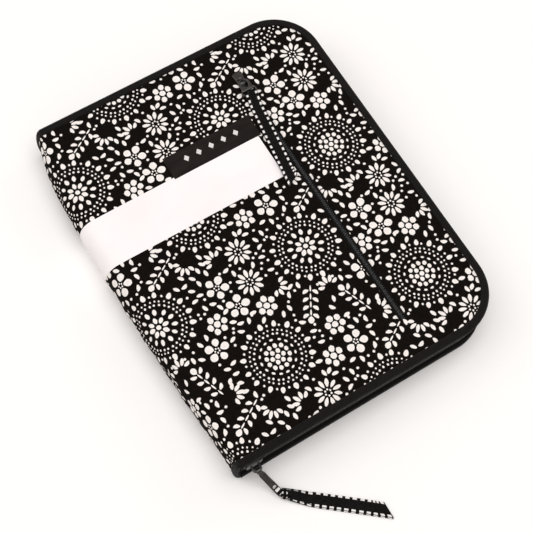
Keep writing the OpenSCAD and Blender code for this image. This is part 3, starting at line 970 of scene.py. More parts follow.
def build_main_zip():
    points, normal, run = edge_path(-72.0, ZIP_INSET, 1.0)
    for word, side in SIDES:
        centre, across, up = edge_frame(points, normal, MID_Z + side * 1.32, side)
        soup = Soup()
        phase = 0 if side > 0 else math.pi
        soup.tube(helix(centre, across, up, run, COIL_PITCH, 0.74, 1.02, phase), 0.26, 5)
        soup.make(f"{word}_coil_teeth", ("coil",), f"{word}_cover", "zip_coil", (f"{word}_zip_coil",))
        build_tape(word, side)


def build_tape(word, side):
    """Woven tape of the main zip, with its two rows of sewing."""
    points, normal, run = edge_path(-77.0, ZIP_INSET, 1.6)
    section = [(-0.28, 8.1), (-0.28, 1.0), (-0.1, 0.9), (0.1, 0.9), (0.28, 1.0), (0.28, 8.1)][::-side]
    sweep(f"{word}_tape", *edge_frame(points, normal, MID_Z, side), section, run, ("tape",),
          f"{word}_cover", "zip_tape", (f"{word}_zip_tape",))
    soup = Soup()
    path, _, length = edge_path(-73.0, 1.78, 1.0)
    for height in (7.2, 3.4):
        for k in range(int(length[-1] / STITCH)):
            s = np.linspace(k * STITCH + 0.3, k * STITCH + 2.2, 4)
            x, y = (np.interp(s, length, path[:, c]) for c in (0, 1))
            z = np.full(4, MID_Z + side * height) + side * np.array([-0.1, 0, 0, -0.1])
            soup.tube(np.stack([x, y, z], -1), 0.14, 5)
    soup.make(f"{word}_tape_stitches", ("thread",), f"{word}_cover", "zip_tape")


def straight(start, end, step=1.0):
    start, end = np.array(start, float), np.array(end, float)
    length = np.linalg.norm(end - start)
    t = np.linspace(0, 1, max(2, int(length / step) + 1))
    return start + (end - start) * t[:, None], t * length


def build_small_coil(word, axis, line, start, end, z):
    """Coil of a narrow zip along X or Y; it lies flat and ends behind its slider."""
    soup = Soup()
    for s in (-1, 1):
        at = line + s * 0.48
        ends = [(at, q, z) if axis == "y" else (q, at, z) for q in (start, end)]
        path, run = straight(*ends)
        across = np.tile([float(s), 0, 0] if axis == "y" else [0, float(s), 0], (len(path), 1))
        phase = 0 if s > 0 else math.pi
        soup.tube(helix(path, across, np.tile(UP, (len(path), 1)), run, 1.25, 0.5, 0.5, phase, 8), 0.2, 5)
    soup.make(f"{word}_coil_teeth", ("coil",), "front_cover", "zip_coil", (f"{word}_zip_coil",))


def flat_tape(name, start, end, step, across, section, mats, replaced):
    """Straight tape on the front cover, its section's first direction along across."""
    path, run = straight(start, end, step)
    n = len(path)
    sweep(name, path, np.tile(across, (n, 1)), np.tile(UP, (n, 1)), section, run, mats, "front_cover",
          "zip_tape", (replaced,))


def build_pocket_zip():
    build_small_coil("pocket", "y", POCKET_X, -POCKET_HALF, 79.0, POCKET_COIL_Z)
    section = [(-1.75, 0.25), (1.4, 0.25), (1.6, 0.0), (1.4, -0.25), (-1.75, -0.25), (-1.85, 0.0)]
    for word, s in (("left", -1), ("right", 1)):
        x = POCKET_X + s * 2.45
        flat_tape(f"pocket_tape_{word}", (x, -POCKET_HALF, POCKET_TAPE_Z), (x, POCKET_HALF, POCKET_TAPE_Z),
                  1.2, [float(s), 0, 0], section[::-s], ("fold",), "pocket_zip_tape")


# ================= sliders and pull tabs =================


def rounded(width, length, r, tail=0.0, x=0.0, y=0.0):
    """Rounded rectangle; its -Y end is narrower by tail on each side."""
    a, b = width / 2, length / 2
    out = arc(x + a - r, y + b - r, r, 0, 90, 5) + arc(x - a + r, y + b - r, r, 90, 180, 5)
    out += arc(x - a + tail + r, y - b + r, r, 180, 270, 5) + arc(x + a - tail - r, y - b + r, r, 270, 360, 5)
    return out


def circle(x, y, r, count=20):
    return arc(x, y, r, 0, 360, count)[:-1]


def shrunk(outline, amount):
    """Outline moved inwards along its normals."""
    p = np.array(outline, float)
    along = np.roll(p, -1, 0) - np.roll(p, 1, 0)
    along /= np.linalg.norm(along, axis=1)[:, None] + 1e-9
    inward = np.stack([-along[:, 1], along[:, 0]], -1)
    return [tuple(q) for q in p + inward * amount]


class Place:
    """Carries local millimetre points into the case's frame."""

    def __init__(self, origin, x_axis=(1, 0, 0), y_axis=(0, 1, 0), z_axis=(0, 0, 1)):
        self.origin = np.asarray(origin, float)
        self.axes = np.array([x_axis, y_axis, z_axis], float)

    def __call__(self, verts):
        return np.asarray(verts, float) @ self.axes + self.origin


def bridge(half, root, top, r, count=6):
    """Points of a bail from one foot over its bar to the other foot, in a local X-Z plane."""
    turns = np.linspace(0, math.pi / 2, count)
    right = [(half - r + r * math.cos(a), top - r + r * math.sin(a)) for a in turns]
    path = [(half, root), (half, (root + top) / 2)] + right
    path += [(-x, z) for x, z in reversed(path)]
    return np.array([(x, 0.0, z) for x, z in path])


def slider_shell(soup, place, width, length, plates, rims, neck_y, tail):
    """Two plates, the rims that guide the tape, and the neck between them; closed end at +Y."""
    top_low, top_high = plates[0]
    body = rounded(width, length, 1.3, tail)
    for low, high in plates:
        soup.plate(place, body, [], low, high)
    soup.plate(place, shrunk(body, 0.75), [], top_high - 0.02, top_high + 0.14)
    for s in (-1, 1):
        for low, high in rims:
            ring = rounded(0.55, length - 2.4, 0.25, 0, s * (width / 2 - 0.3 - tail * 0.55), 0.2)
            soup.plate(place, ring, [], low, high)
    soup.plate(place, circle(0, neck_y, 0.8), [], plates[1][1] - 0.05, top_low + 0.05)


def tab_plate(soup, place, outline, holes, thick, rim, collars):
    """Flat tab with a thinner web, a raised rim and a raised collar round each hole."""
    soup.plate(place, outline, holes, -thick * 0.36, thick * 0.36)
    soup.plate(place, outline, [shrunk(outline, rim)], -thick / 2, thick / 2)
    for hole, collar in zip(holes, collars):
        soup.plate(place, shrunk(hole, -collar), [hole], -thick / 2, thick / 2)


def mirrored(right):
    """Outline from its right half, given from the far end up."""
    return right + [(-x, y) for x, y in reversed(right)]


def dark_part(soup, name, body, replaced, edge):
    made = soup.make(name, ("dark",), body, "dark_metal", (replaced,))
    bevel(made, edge)


def eye_barrel(soup, place, outer, bore, width):
    """Rolled eye of a tab, round an axis along local X."""
    verts, faces = prism(circle(0, 0, outer, 28), [circle(0, 0, bore, 20)], -width / 2, width / 2)
    soup.add(place(np.stack([verts[:, 2], verts[:, 0], verts[:, 1]], -1)), faces)


def build_main_slider():
    """The slider stands on the edge of the case: its local Z points out along -Y."""
    place = Place((SLIDER_X, 0, MID_Z), (0, 0, 1), (-1, 0, 0), (0, -1, 0))
    soup = Soup()
    plates = ((104.2, 104.86), (100.8, 101.6))
    rims = ((103.5, 104.25), (101.55, 102.3))
    slider_shell(soup, place, 8.4, 9.0, plates, rims, 3.5, 1.0)
    bail = Place((SLIDER_X, 0, MID_Z), (1, 0, 0), (0, 0, 1), (0, -1, 0))
    soup.tube(bail(bridge(2.0, 104.3, BAIL_OUT, 1.0)), 0.56, 10)
    for s in (-1, 1):
        soup.plate(bail, rounded(1.1, 1.9, 0.4, 0, s * 2.0, 0), [], 104.8, 105.0)
    dark_part(soup, "main_zip_slider", "main_slider", "main_slider", 0.12)


def main_tab_place():
    turn = math.radians(PULL_DROP)
    axis = np.array([1.0, 0, 0])
    out = np.array([0, math.cos(turn), math.sin(turn)])
    up = np.array([0, -math.sin(turn), math.cos(turn)])
    return axis, out, up


def build_main_tab():
    axis, out, up = main_tab_place()
    origin = (SLIDER_X, -BAIL_OUT, MID_Z)
    yaw = math.radians(PULL_YAW)
    across = axis * math.cos(yaw) + out * math.sin(yaw)
    along = out * math.cos(yaw) - axis * math.sin(yaw)
    soup = Soup()
    eye_barrel(soup, Place(origin, axis, out, up), 1.42, 0.69, 2.6)
    right = arc(0.85, -16.0, 0.75, 270, 360, 5) + [(1.82, -13.0), (1.66, -6.0), (1.72, -3.4), (1.15, -1.0)]
    slot = rounded(2.0, 4.0, 0.95, 0, 0, -PULL_L + 2.55)
    tab_plate(soup, Place(origin, across, along, up), mirrored(right), [slot], 1.15, 0.42, [0.3])
    dark_part(soup, "main_zip_pull", "main_pull", "main_pull_tab", 0.1)


def build_small_slider(word, place, plates, rims, bail_top):
    soup = Soup()
    slider_shell(soup, place, 5.8, 8.0, plates, rims, 3.1, 0.7)
    arch = bridge(1.7, plates[0][1] - 0.05, bail_top, 0.8)
    soup.tube(place(arch - np.array([0, 1.0, 0])), 0.46, 10)
    dark_part(soup, f"{word}_zip_slider", f"{word}_slider", f"{word}_slider", 0.1)


def build_pocket_slider():
    place = Place((POCKET_X, POCKET_SLIDER_Y, 0))
    plates = ((24.75, 25.16), (22.0, 22.5))
    build_small_slider("pocket", place, plates, ((24.2, 24.8),), POCKET_BAIL[2])


def build_pocket_tab():
    """Yoke: an eye, a tall window, and two legs that hold the ribbon's bar."""
    place = Place(POCKET_BAIL)
    soup = Soup()
    eye_barrel(soup, place, 1.05, 0.59, 2.4)
    right = arc(3.7, -10.2, 0.78, 270, 360, 5) + [(4.44, -8.6), (3.9, -7.4), (3.4, -6.8), (3.3, -6.0)]
    right += [(3.35, -4.4), (3.1, -3.0), (2.3, -1.7), (1.1, -0.7)]
    window = [(x * 1.15, -3.95 + y * 1.55) for x, y in circle(0, 0, 1.7, 22)]
    slot = rounded(7.5, 1.5, 0.6, 0, 0, -9.2)
    tab_plate(soup, place, mirrored(right), [window, slot], 0.8, 0.5, [0.4, 0.2])
    dark_part(soup, "pocket_zip_pull", "pocket_pull", "pocket_pull_tab", 0.09)


def build_pouch_slider():
    place = Place((POUCH_SLIDER_X, POUCH_ZIP_Y, 0), (0, 1, 0), (-1, 0, 0), (0, 0, -1))
    plates = ((-14.75, -14.3), (-17.05, -16.5))
    build_small_slider("pouch", place, plates, ((-15.35, -14.7),), -POUCH_BAIL_Z)
    soup = Soup()
    tab = Place((POUCH_SLIDER_X + 1, POUCH_ZIP_Y, POUCH_BAIL_Z), (0, 1, 0), (-1, 0, 0))
    eye_barrel(soup, tab, 1.05, 0.59, 2.4)
    right = arc(0.8, -8.75, 0.7, 270, 360, 5) + [(1.55, -6.0), (1.85, -3.2), (1.05, -0.7)]
    tab_plate(soup, tab, mirrored(right), [rounded(1.5, 3.0, 0.7, 0, 0, -6.95)], 0.8, 0.35, [0.2])
    dark_part(soup, "pouch_zip_pull", "pouch_pull", "pouch_pull_tab", 0.08)


# ================= ribbons =================

RIBBON_LOW = 0.25      # no part of a ribbon's middle goes below this height
FOLD_LOW = 0.3


def ribbon_columns(edge_low, edge_high, dash):
    """Places across a ribbon, and which of its strips carry stitches."""
    half = RIBBON_W / 2
    w = [-half, -half + edge_low, -half + edge_low + dash, -1.3, 0, 1.3]
    w += [half - edge_high - dash, half - edge_high, half]
    return np.array(w), {1, len(w) - 3}


def ribbon_layer(soup, t, centre, left, lift, roll, shift, ends, pitch, stitch, phase, columns):
    """One layer of ribbon: stations at run t, rolled about its run by roll radians in all."""
    w, sewn = columns
    count, wide = len(t), len(w)
    rows = []
    for k in range(count):
        angle = max(roll[k], 1e-4)
        r = RIBBON_W / angle
        flat, high = r * np.sin(w / r), r * (1 - np.cos(w / r))
        back = ends[k] * (w / RIBBON_W + 0.5)
        row = centre[k] + left[k] * (flat + shift[k])[:, None] + lift[k] * high[:, None]
        along = centre[min(k + 1, count - 1)] - centre[max(k - 1, 0)]
        along /= np.linalg.norm(along) + 1e-9
        row = row - along * back[:, None]
        row[:, 2] = np.maximum(row[:, 2], RIBBON_LOW)
        rows.append(row)
    verts = np.concatenate(rows)
    for dashed in (False, True):
        faces = []
        for k in range(count - 1):
            on = (t[k] + phase) % pitch < stitch
            for c in range(wide - 1):
                if (on and c in sewn) == dashed:
                    faces.append(quad(k, c, wide))
        soup.add(verts, faces, 1 if dashed else 0)


def finish_ribbon(soup, name, body, replaced, thick=0.42):
    made = soup.make(name, ("ribbon", "dash"), body, "ribbon", replaced)
    weld = made.modifiers.new("weld", "WELD")
    weld.merge_threshold = 0.002 * MM
    apply_modifiers(made)
    thicken(made, thick, 0.0)
    return made


def build_main_ribbon():
    """A doubled ribbon through the tab's slot: bunched at the bar, flat further out."""
    heading = math.radians(MAIN_RIBBON_TURN)
    ahead = np.array([math.cos(heading), math.sin(heading), 0])
    left = np.array([-ahead[1], ahead[0], 0])
    bar = np.array(MAIN_BAR)
    start = bar + np.array([0, -0.6, 0])
    soup = Soup()
    length, cut = 57.2, 5.4
    for side in (-1, 1):
        t = np.arange(1.0, length + 0.01, 0.3)
        open_up = smooth01((t + 4) / 28)
        z_flat = 0.34 if side < 0 else 0.86
        z_bar = bar[2] + side * 1.25
        z = z_bar + (z_flat - z_bar) * smooth01((t - 1) / (9 if side < 0 else 15))
        wander = 0.5 * np.sin(t / 15) * open_up
        centre = start[None, :] * [1, 1, 0] + t[:, None] * ahead + z[:, None] * [0, 0, 1.0]
        roll = 3.3 * (1 - open_up) * (1.1 if side < 0 else 0.95)
        lift = np.tile([0, 0, -float(side)], (len(t), 1))
        shift = (-1.6 * open_up if side < 0 else -1.05 * open_up) + wander * 0.4
        ends = cut * smooth01((t - length + 14) / 14)
        ribbon_layer(soup, t, centre, np.tile(left, (len(t), 1)), lift, roll, shift, ends, 3.65, 2.1,
                     0.4, ribbon_columns(0.24, 0.01, 0.95) if side > 0 else ribbon_columns(0.01, 0.01, 0.95))
    bar_folds(soup, bar, math.radians(PULL_YAW))
    wrap(soup, bar + ahead * 2.5 - left * 0.3 + [0, -0.4, -0.5], ahead, left)
    made = finish_ribbon(soup, "main_ribbon_strap", "main_ribbon", ("main_ribbon",))


def wrap(soup, middle, ahead, left):
    """The turn of the knot round both layers."""
    angle = np.linspace(-0.9, TAU - 0.5, 43)
    ring = middle + left * (np.cos(angle) * 2.15)[:, None] + ahead * (angle * 0.22)[:, None]
    ring[:, 2] = np.maximum(middle[2] + 1.9 * np.sin(angle), FOLD_LOW)
    w = np.array([-1.3, -0.75, 0.75, 1.3])
    verts = (ring[:, None] + ahead * w[None, :, None]).reshape(-1, 3)
    for index in (0, 1):
        faces = []
        for k in range(len(ring) - 1):
            for c in range(3):
                if (c != 1 and k % 7 < 3) == (index == 1):
                    faces.append(quad(k, c, 4))
        soup.add(verts, faces, index)


def bar_folds(soup, bar, turn):
    """The ribbon's folds where it passes round the tab's bar."""
    axis = np.array([math.cos(turn), math.sin(turn), 0])
    out = np.array([-axis[1], axis[0], 0])
    up = np.array([0, 0, 1.0])
    folds = ((1.25, 0.0), (1.7, 0.95), (1.7, -0.95), (2.25, 0.5), (2.35, -0.75))
    for fold, (reach, wide) in enumerate(folds):
        angle = np.linspace(-2.5, 2.5, 34)
        squash = 1.0 + 0.08 * np.sin(3 * angle + fold)
        ring = bar + out * (np.cos(angle) * reach * squash)[:, None] + up * (np.sin(angle) * reach)[:, None]
        ring[:, 2] = np.maximum(ring[:, 2], FOLD_LOW)
        w = np.array([-0.6, 0, 0.6])
        verts = (ring[:, None] + axis * (w + wide)[None, :, None]).reshape(-1, 3)
        faces = lattice(len(ring), 3)
        dark = [f for i, f in enumerate(faces) if (i // 2) % 9 < 5 or fold < 3]
        light = [f for i, f in enumerate(faces) if (i // 2) % 9 >= 5 and fold >= 3]
        soup.add(verts, dark, 0)
        soup.add(verts, light, 1)


def build_pocket_ribbon():
    """A doubled ribbon laid flat over the tab's bar."""
    bar = np.array(POCKET_BAIL) - [0, 10.5, 0]
    heading = math.radians(POCKET_RIBBON_TURN)
    ahead = np.array([math.cos(heading), math.sin(heading), 0])
    down = np.array([0, -1.0, 0])
    length, cut, loop = 58.6, 4.4, 1.05
    t_low = np.arange(length, 0.6, -0.275)
    stations = []

    def add(point, lean, run, end, slide):
        direction = unit(down * (1 - lean) + ahead * lean)
        left = np.array([-direction[1], direction[0], 0])
        stations.append((point, left, run, end, slide))

    def flat(t, z_flat, side):
        lean = float(smooth01(t / 9))
        z = bar[2] + side * loop + (z_flat - bar[2] - side * loop) * float(smooth01(t / 5.5))
        point = bar + down * t * (1 - lean) + ahead * t * lean
        return np.array([point[0], point[1], z]), lean, cut * float(smooth01((t - length + 12) / 12))

    for t in t_low:
        point, lean, end = flat(t, 25.3, -1)
        add(point, lean, length - t, end, 0.12 * float(smooth01((t - 6) / 16)))
    turns = np.linspace(-math.pi / 2, -3 * math.pi / 2, 13)
    for a in turns:
        out = np.array([0, math.cos(a), math.sin(a)])
        add(bar + out * loop, 0.0, length + (a + math.pi / 2) * -loop, 0.0, 0.0)
    for t in t_low[::-1]:
        point, lean, end = flat(t, 25.78, 1)
        add(point, lean, length + 3.3 + t, end, 0.0)
    half_way = len(t_low) + len(turns) // 2
    soup = Soup()
    for part, slant in ((stations[:half_way + 1], -1), (stations[half_way:], 1)):
        points, left, run, ends, shift = (np.array(column) for column in zip(*part))
        ribbon_layer(soup, run, points, left, np.tile(UP, (len(part), 1)), np.zeros(len(part)), shift,
                     ends * slant, 3.3, 1.75, 0.6, ribbon_columns(0.24, 0.24, 1.15))
    made = finish_ribbon(soup, "pocket_ribbon_strap", "pocket_ribbon", ("pocket_ribbon",), 0.36)


# ================= inside the case =================

TIP_D = (3.5, 3.75, 4.0, 4.5, 5.0, 5.5, 6.0, 6.5, 8.0)
SLOTS_X0 = -69.0
SLOTS_W = 138.0
SLOT_AIR = 0.3
SHEET_T = 0.6
LINING_Z = 3.6
PILE_LOW = (-62.0, -92.0)
PILE_HIGH = (66.0, 56.0)
NET_Z = 15.2
NET_MARGIN = 4.4
NET_TOP = 43.2
CABLE_Z = 18.4
CABLE_D = 2.2
CABLE_STEP = 1.5
LEAD_R = 9.0
COIL_X = (-30.0, 33.0)  # middles of the cable coils and of the caps


def build_linings():
    outline = cover_outline(BIND - 0.1, -77.2)
    points, faces, _ = flat_sheet(outline, [], [], 4.0)
    x, y = points[:, 0], points[:, 1]
    for word, side in (("back", -1), ("front", 1)):
        puff = 0.07 * soft_noise(x, y, 48, 51 + side) * smooth01(edge_distance(x, y) / 14)
        z = MID_Z + side * (MID_Z - LINING_Z - puff)
        turned = faces if side < 0 else [f[::-1] for f in faces]
        made = piece(f"{word}_lining_sheet", np.stack([x, y, z], -1), turned, ("lining",), f"{word}_cover",
                     (f"{word}_lining",))
        thicken(made, 0.42)
    flange = [(-78.4, 21.6), (-78.0, 21.25), (-77.5, 21.1), (-77.2, 20.8)]
    section = flange + [(-77.18, z) for z in np.linspace(19.5, MID_Z, 5)]
    section += [(x, 2 * MID_Z - z) for x, z in reversed(section[:-1])]
    made, across = folded_strip("spine_lining_sheet", section, "spine", ("spine_lining",))


def folded_strip(name, section, body, replaced, thick=0.3):
    """Lining folded over a board's long edge: a section in X-Z carried along Y."""
    rows = np.linspace(-101.0, 101.0, 68)
    section = np.array(section)
    n = len(section)
    verts = []
    for y in rows:
        crease = 0.05 * soft_noise(section[:, 1] * 2, np.full(n, y), 11, 61)
        verts.append(np.stack([section[:, 0] + np.minimum(crease, 0.05), np.full(n, y), section[:, 1]], -1))
    made = piece(name, np.concatenate(verts), lattice(len(rows), n), ("lining",), body, replaced)
    thicken(made, thick)
    return made, float(run_along(section)[-1])


def slot_places():
    """Left edge and width of each pair's tunnel, smallest pair first."""
    widths = [2 * d + 3 * SLOT_AIR + 0.1 for d in TIP_D]
    gap = (SLOTS_W - sum(widths)) / (len(widths) + 1)
    out, x = [], SLOTS_X0
    for width in widths:
        x += gap
        out.append((x, width))
        x += width
    return out


def tunnel_line(lift):
    """Section of the tunnels across the case: arches over the pairs, flat sewn strips between them."""
    line, valleys = [(SLOTS_X0, 0.0)], []
    last = SLOTS_X0
    for (x, width), d in zip(slot_places(), TIP_D):
        half, tall = width / 2 + SHEET_T, d + 2 * SLOT_AIR + 0.4 + lift
        left, right = x - SHEET_T, x + width + SHEET_T
        line += [(last + (left - last) * k / 4, 0.0) for k in (1, 2, 3)]
        valleys.append((last + left) / 2)
        for angle in np.linspace(math.pi, 0, 19):
            c, s = math.cos(angle), math.sin(angle)
            line.append((x + width / 2 + half * math.copysign(abs(c) ** 0.62, c), tall * max(s, 0) ** 0.62))
        last = right
    end = SLOTS_X0 + SLOTS_W
    line += [(last + (end - last) * k / 4, 0.0) for k in (1, 2, 3, 4)]
    valleys.append((last + end) / 2)
    return np.array(line), valleys


def tunnel_sheet(name, rows, heights, extra, mats, replaced, thick, lift=0.0):
    """A sheet over the pairs; heights scales the arches at each row, extra lifts the whole row."""
    line, valleys = tunnel_line(lift)
    base = LINING_Z + thick + 0.05
    n = len(line)
    verts = []
    for y, height, up in zip(rows, heights, extra):
        pucker = 1 + 0.02 * soft_noise(line[:, 0], np.full(n, y), 13, 71)
        z = base + line[:, 1] * height * np.minimum(pucker, 1.02) + up
        verts.append(np.stack([line[:, 0], np.full(n, y), z], -1))
    run = run_along(line)
    flow = np.stack([np.tile(run, len(rows)), np.repeat(rows, n)], -1)
    made = piece(name, np.concatenate(verts), lattice(len(rows), n), mats, "back_cover", replaced, flow)
    thicken(made, thick)
    return made, float(run[-1]), valleys


def stitch_line(soup, start, end, pitch=2.6, radius=0.16, lift=0.06):
    start, end = np.array(start, float), np.array(end, float)
    length = np.linalg.norm(end - start)
    ahead = (end - start) / length
    dip = lift * np.array([-1, 1, 1, -1])
    for k in range(int(length / pitch)):
        s = np.linspace(k * pitch + 0.3, (k + 1) * pitch - 0.3, 4)
        points = start + ahead * s[:, None] + np.array(UP) * dip[:, None]
        soup.tube(points, radius, 5)


def build_needle_pockets():
    low_hem, high_hem = [-96.55, -96.35, -96.1], [-44.6, -44.3, -42, -40, -38.4, -38.05]
    rows = np.concatenate([low_hem, np.arange(-94, -45, 3.0), high_hem])
    heights = np.ones(len(rows))
    heights[:3] = (0.1, 0.7, 1.0)
    hem = np.where(rows > -44.5, 0.22, 0.0)
    hem[-1] = 0.1
    made, across, valleys = tunnel_sheet("needle_pocket_sheet", rows, heights, hem, ("lining",),
                                         ("needle_pocket",), 0.42)
    rows = np.linspace(2.0, 14.0, 9)
    band, across, _ = tunnel_sheet("needle_elastic_band", rows, np.ones(9), np.zeros(9), ("elastic",),
                                   ("needle_elastic",), 0.5, 0.1)
    soup = Soup()
    z = LINING_Z + 0.5
    for x in valleys[1:-1]:
        stitch_line(soup, (x, -95.5, z), (x, -39.0, z))
        for y in (3.0, 12.6):
            stitch_line(soup, (x - 0.9, y, z + 0.1), (x + 0.9, y, z + 0.1), 1.8)
    for x in (valleys[0], valleys[-1]):
        stitch_line(soup, (x, -95.5, z), (x, -39.0, z))
        stitch_line(soup, (x, 2.4, z + 0.1), (x, 13.6, z + 0.1))
    soup.make("needle_pocket_stitches", ("stitch",), "back_cover", "lining")


def honeycomb(low, high, cell):
    """Strands of a hexagonal net over a rectangle, as start and end points."""
    rise = cell * math.sqrt(3) / 2
    side = cell / math.sqrt(3)
    starts, ends = [], []
    for row in range(int((high[1] - low[1]) / rise) + 2):
        for col in range(int((high[0] - low[0]) / cell) + 2):
            cx, cy = low[0] + (col + 0.5 * (row % 2)) * cell, low[1] + row * rise
            corner = [(cx + side * math.cos(a), cy + side * math.sin(a))
                      for a in (math.pi / 2, math.pi / 6, -math.pi / 6, -math.pi / 2)]
            starts += corner[:3]
            ends += corner[1:]
    starts, ends = np.array(starts), np.array(ends)
    inside = np.ones(len(starts), bool)
    for p in (starts, ends):
        inside &= np.all((p > low) & (p < high), axis=1)
    return starts[inside], ends[inside]


def net_panel(name, low, high, cell, width, thick, z0, body, replaced):
    starts, ends = honeycomb(np.array(low), np.array(high), cell)
    ahead = unit(ends - starts)
    side = np.stack([-ahead[:, 1], ahead[:, 0]], -1) * width / 2
    corners = np.stack([starts - side, starts + side, ends + side, ends - side], 1)
    z = z0 + 0.12 * soft_noise(corners[..., 0], corners[..., 1], 42, 81)
    top = np.concatenate([corners, (z + thick / 2)[..., None]], -1)
    bottom = np.concatenate([corners, (z - thick / 2)[..., None]], -1)
    verts = np.concatenate([top, bottom], 1).reshape(-1, 3)
    walls = [(k, (k + 1) % 4, (k + 1) % 4 + 4, k + 4) for k in range(4)]
    block = np.array([(3, 2, 1, 0), (4, 5, 6, 7), *walls])
    faces = (block[None] + (np.arange(len(starts)) * 8)[:, None, None]).reshape(-1, 4)
    return piece(name, verts, faces.tolist(), ("net",), body, replaced, smooth=False)


def build_pouch_edge(middle):
    """Bound edge of the pouch, which stands off the lining."""
    width, length = PILE_HIGH[0] - PILE_LOW[0], PILE_HIGH[1] - PILE_LOW[1]
    corners = np.array(rounded(width, length, 5.0, 0, *middle))
    path = []
    for a, b in zip(corners, np.roll(corners, -1, 0)):
        count = max(1, int(np.linalg.norm(b - a) / 3))
        path += [a + (b - a) * k / count for k in range(count)]
    path = np.array(path)
    n = len(path)
    along = unit(np.roll(path, -1, 0) - np.roll(path, 1, 0))
    inward = np.stack([-along[:, 1], along[:, 0], np.zeros(n)], -1)
    section = [(0.1, 21.35), (0.0, 18.0), (0.05, 15.4), (0.4, 14.98), (2.6, 14.93), (5.0, 15.02), (5.1, 15.3),
               (5.0, 15.56), (0.9, 15.6), (0.62, 15.9), (0.62, 21.35)]
    sweep("pouch_edge", np.column_stack([path, np.zeros(n)]), inward, np.tile(UP, (n, 1)), section,
          run_along(path), ("binding",), "front_cover", "lining", ("mesh_pouch",), cyclic=True)


def build_pouch():
    """Net pouch: its bound edge, a net panel, and a zip near its top."""
    middle = ((PILE_LOW[0] + PILE_HIGH[0]) / 2, (PILE_LOW[1] + PILE_HIGH[1]) / 2)
    build_pouch_edge(middle)
    x0, x1 = PILE_LOW[0] + NET_MARGIN, PILE_HIGH[0] - NET_MARGIN
    panel = net_panel("pouch_net", (x0, PILE_LOW[1] + NET_MARGIN), (x1, NET_TOP), 3.4, 0.46, 0.36,
                      NET_Z + 0.1, "front_cover", ("mesh_pouch",))
    soup = Soup()
    soup.add(*prism(rounded(x1 - x0 + 2, 2.9, 0.3, 0, middle[0], 50.9), [], 15.0, 15.5))
    soup.make("pouch_top_facing", ("lining",), "front_cover", "lining", ("mesh_pouch",))
    soup = Soup()
    for y in (41.0, 51.2):
        stitch_line(soup, (x0 + 2, y, 14.94), (x1 - 2, y, 14.94), lift=-0.06)
    for x in (PILE_LOW[0] + 3.9, PILE_HIGH[0] - 3.9):
        stitch_line(soup, (x, PILE_LOW[1] + 6, 14.93), (x, PILE_HIGH[1] - 6, 14.93), lift=-0.06)
    soup.make("pouch_stitches", ("stitch",), "front_cover", "lining")
    build_small_coil("pouch", "x", POUCH_ZIP_Y, -43.5, 60.0, POUCH_COIL_Z)
    section = [(-1.6, 0.22), (1.6, 0.22), (1.6, -0.22), (-1.6, -0.22)]
    for word, s in (("low", -1), ("high", 1)):
        y = POUCH_ZIP_Y + s * 2.6
        start, end = ((x, y, POUCH_TAPE_Z) for x in (PILE_LOW[0] + 4, PILE_HIGH[0] - 4))
        flat_tape(f"pouch_tape_{word}", start, end, 1.4, [0, float(s), 0], section[::s], ("tape",),
                  "pouch_zip_tape")


def spiral_path(cx, cy, r0, halves):
    """Centreline of a coiled cable: a short lead, then half turns that grow by half a pitch."""
    points = arc(r0 - LEAD_R, 0, LEAD_R, -90, 0, 10)[:-1]
    for k in range(halves):
        odd = k % 2
        half = arc(CABLE_STEP * odd, 0, r0 + k * CABLE_STEP, 180 * odd, 180 * odd + 180, 22)
        points += half if k == halves - 1 else half[:-1]
    return [(cx + x, cy + y, CABLE_Z) for x, y in points]


def lathe(soup, profile, origin, ahead, sides=20):
    """Solid of revolution about a level axis; profile is (run, radius) between its closed ends."""
    ahead = np.array(ahead, float)
    side = np.cross(ahead, UP)
    other = np.cross(ahead, side)
    angle = np.arange(sides) * TAU / sides
    level, rise = np.cos(angle)[:, None] * side, np.sin(angle)[:, None] * other
    verts = np.concatenate([
        np.array(origin) + ahead * run + level * r + rise * r for run, r in profile
    ])
    soup.add(verts, skin(len(profile), sides))


def ferrule_profile():
    """Crimped sleeve, knurled grip and threaded stud of a cable's end."""
    rows = [(-0.2, 1.15), (0.1, 1.35), (0.8, 1.4), (1.2, 1.22), (1.6, 1.4), (2.4, 1.4), (2.8, 1.58)]
    rows += [(3.2, 1.6), (9.4, 1.6), (9.8, 1.45), (10.0, 1.2), (10.05, 0.7)]
    for k in range(7):
        rows += [(10.3 + k * 0.5, 0.68), (10.5 + k * 0.5, 0.86)]
    return rows + [(13.7, 0.7), (14.0, 0.45)]


def build_cables():
    for label, r0, halves, cy in (("24in", 18.0, 5, 4.0), ("32in", 20.0, 7, -60.0)):
        for word, cx in zip(("left", "right"), COIL_X):
            path = spiral_path(cx, cy, r0, halves)
            outer = r0 + (halves - 1) * CABLE_STEP
            soup = Soup()
            lathe(soup, ferrule_profile(), (cx + r0 - LEAD_R, cy - LEAD_R, CABLE_Z), (-1, 0, 0))
            lathe(soup, ferrule_profile(), (cx - outer, cy, CABLE_Z), (0, -1, 0))
            ends = soup.make(f"cable_ends_{label}_{word}", ("steel",), "front_cover", "bright_steel",
                             ("cable_ferrules",))
            verts, faces = tube(path, CABLE_D / 2, 12)
            made = piece(f"cable_{label}_{word}", verts, faces, ("cable",), "front_cover",
                         (f"cables_{label}",))


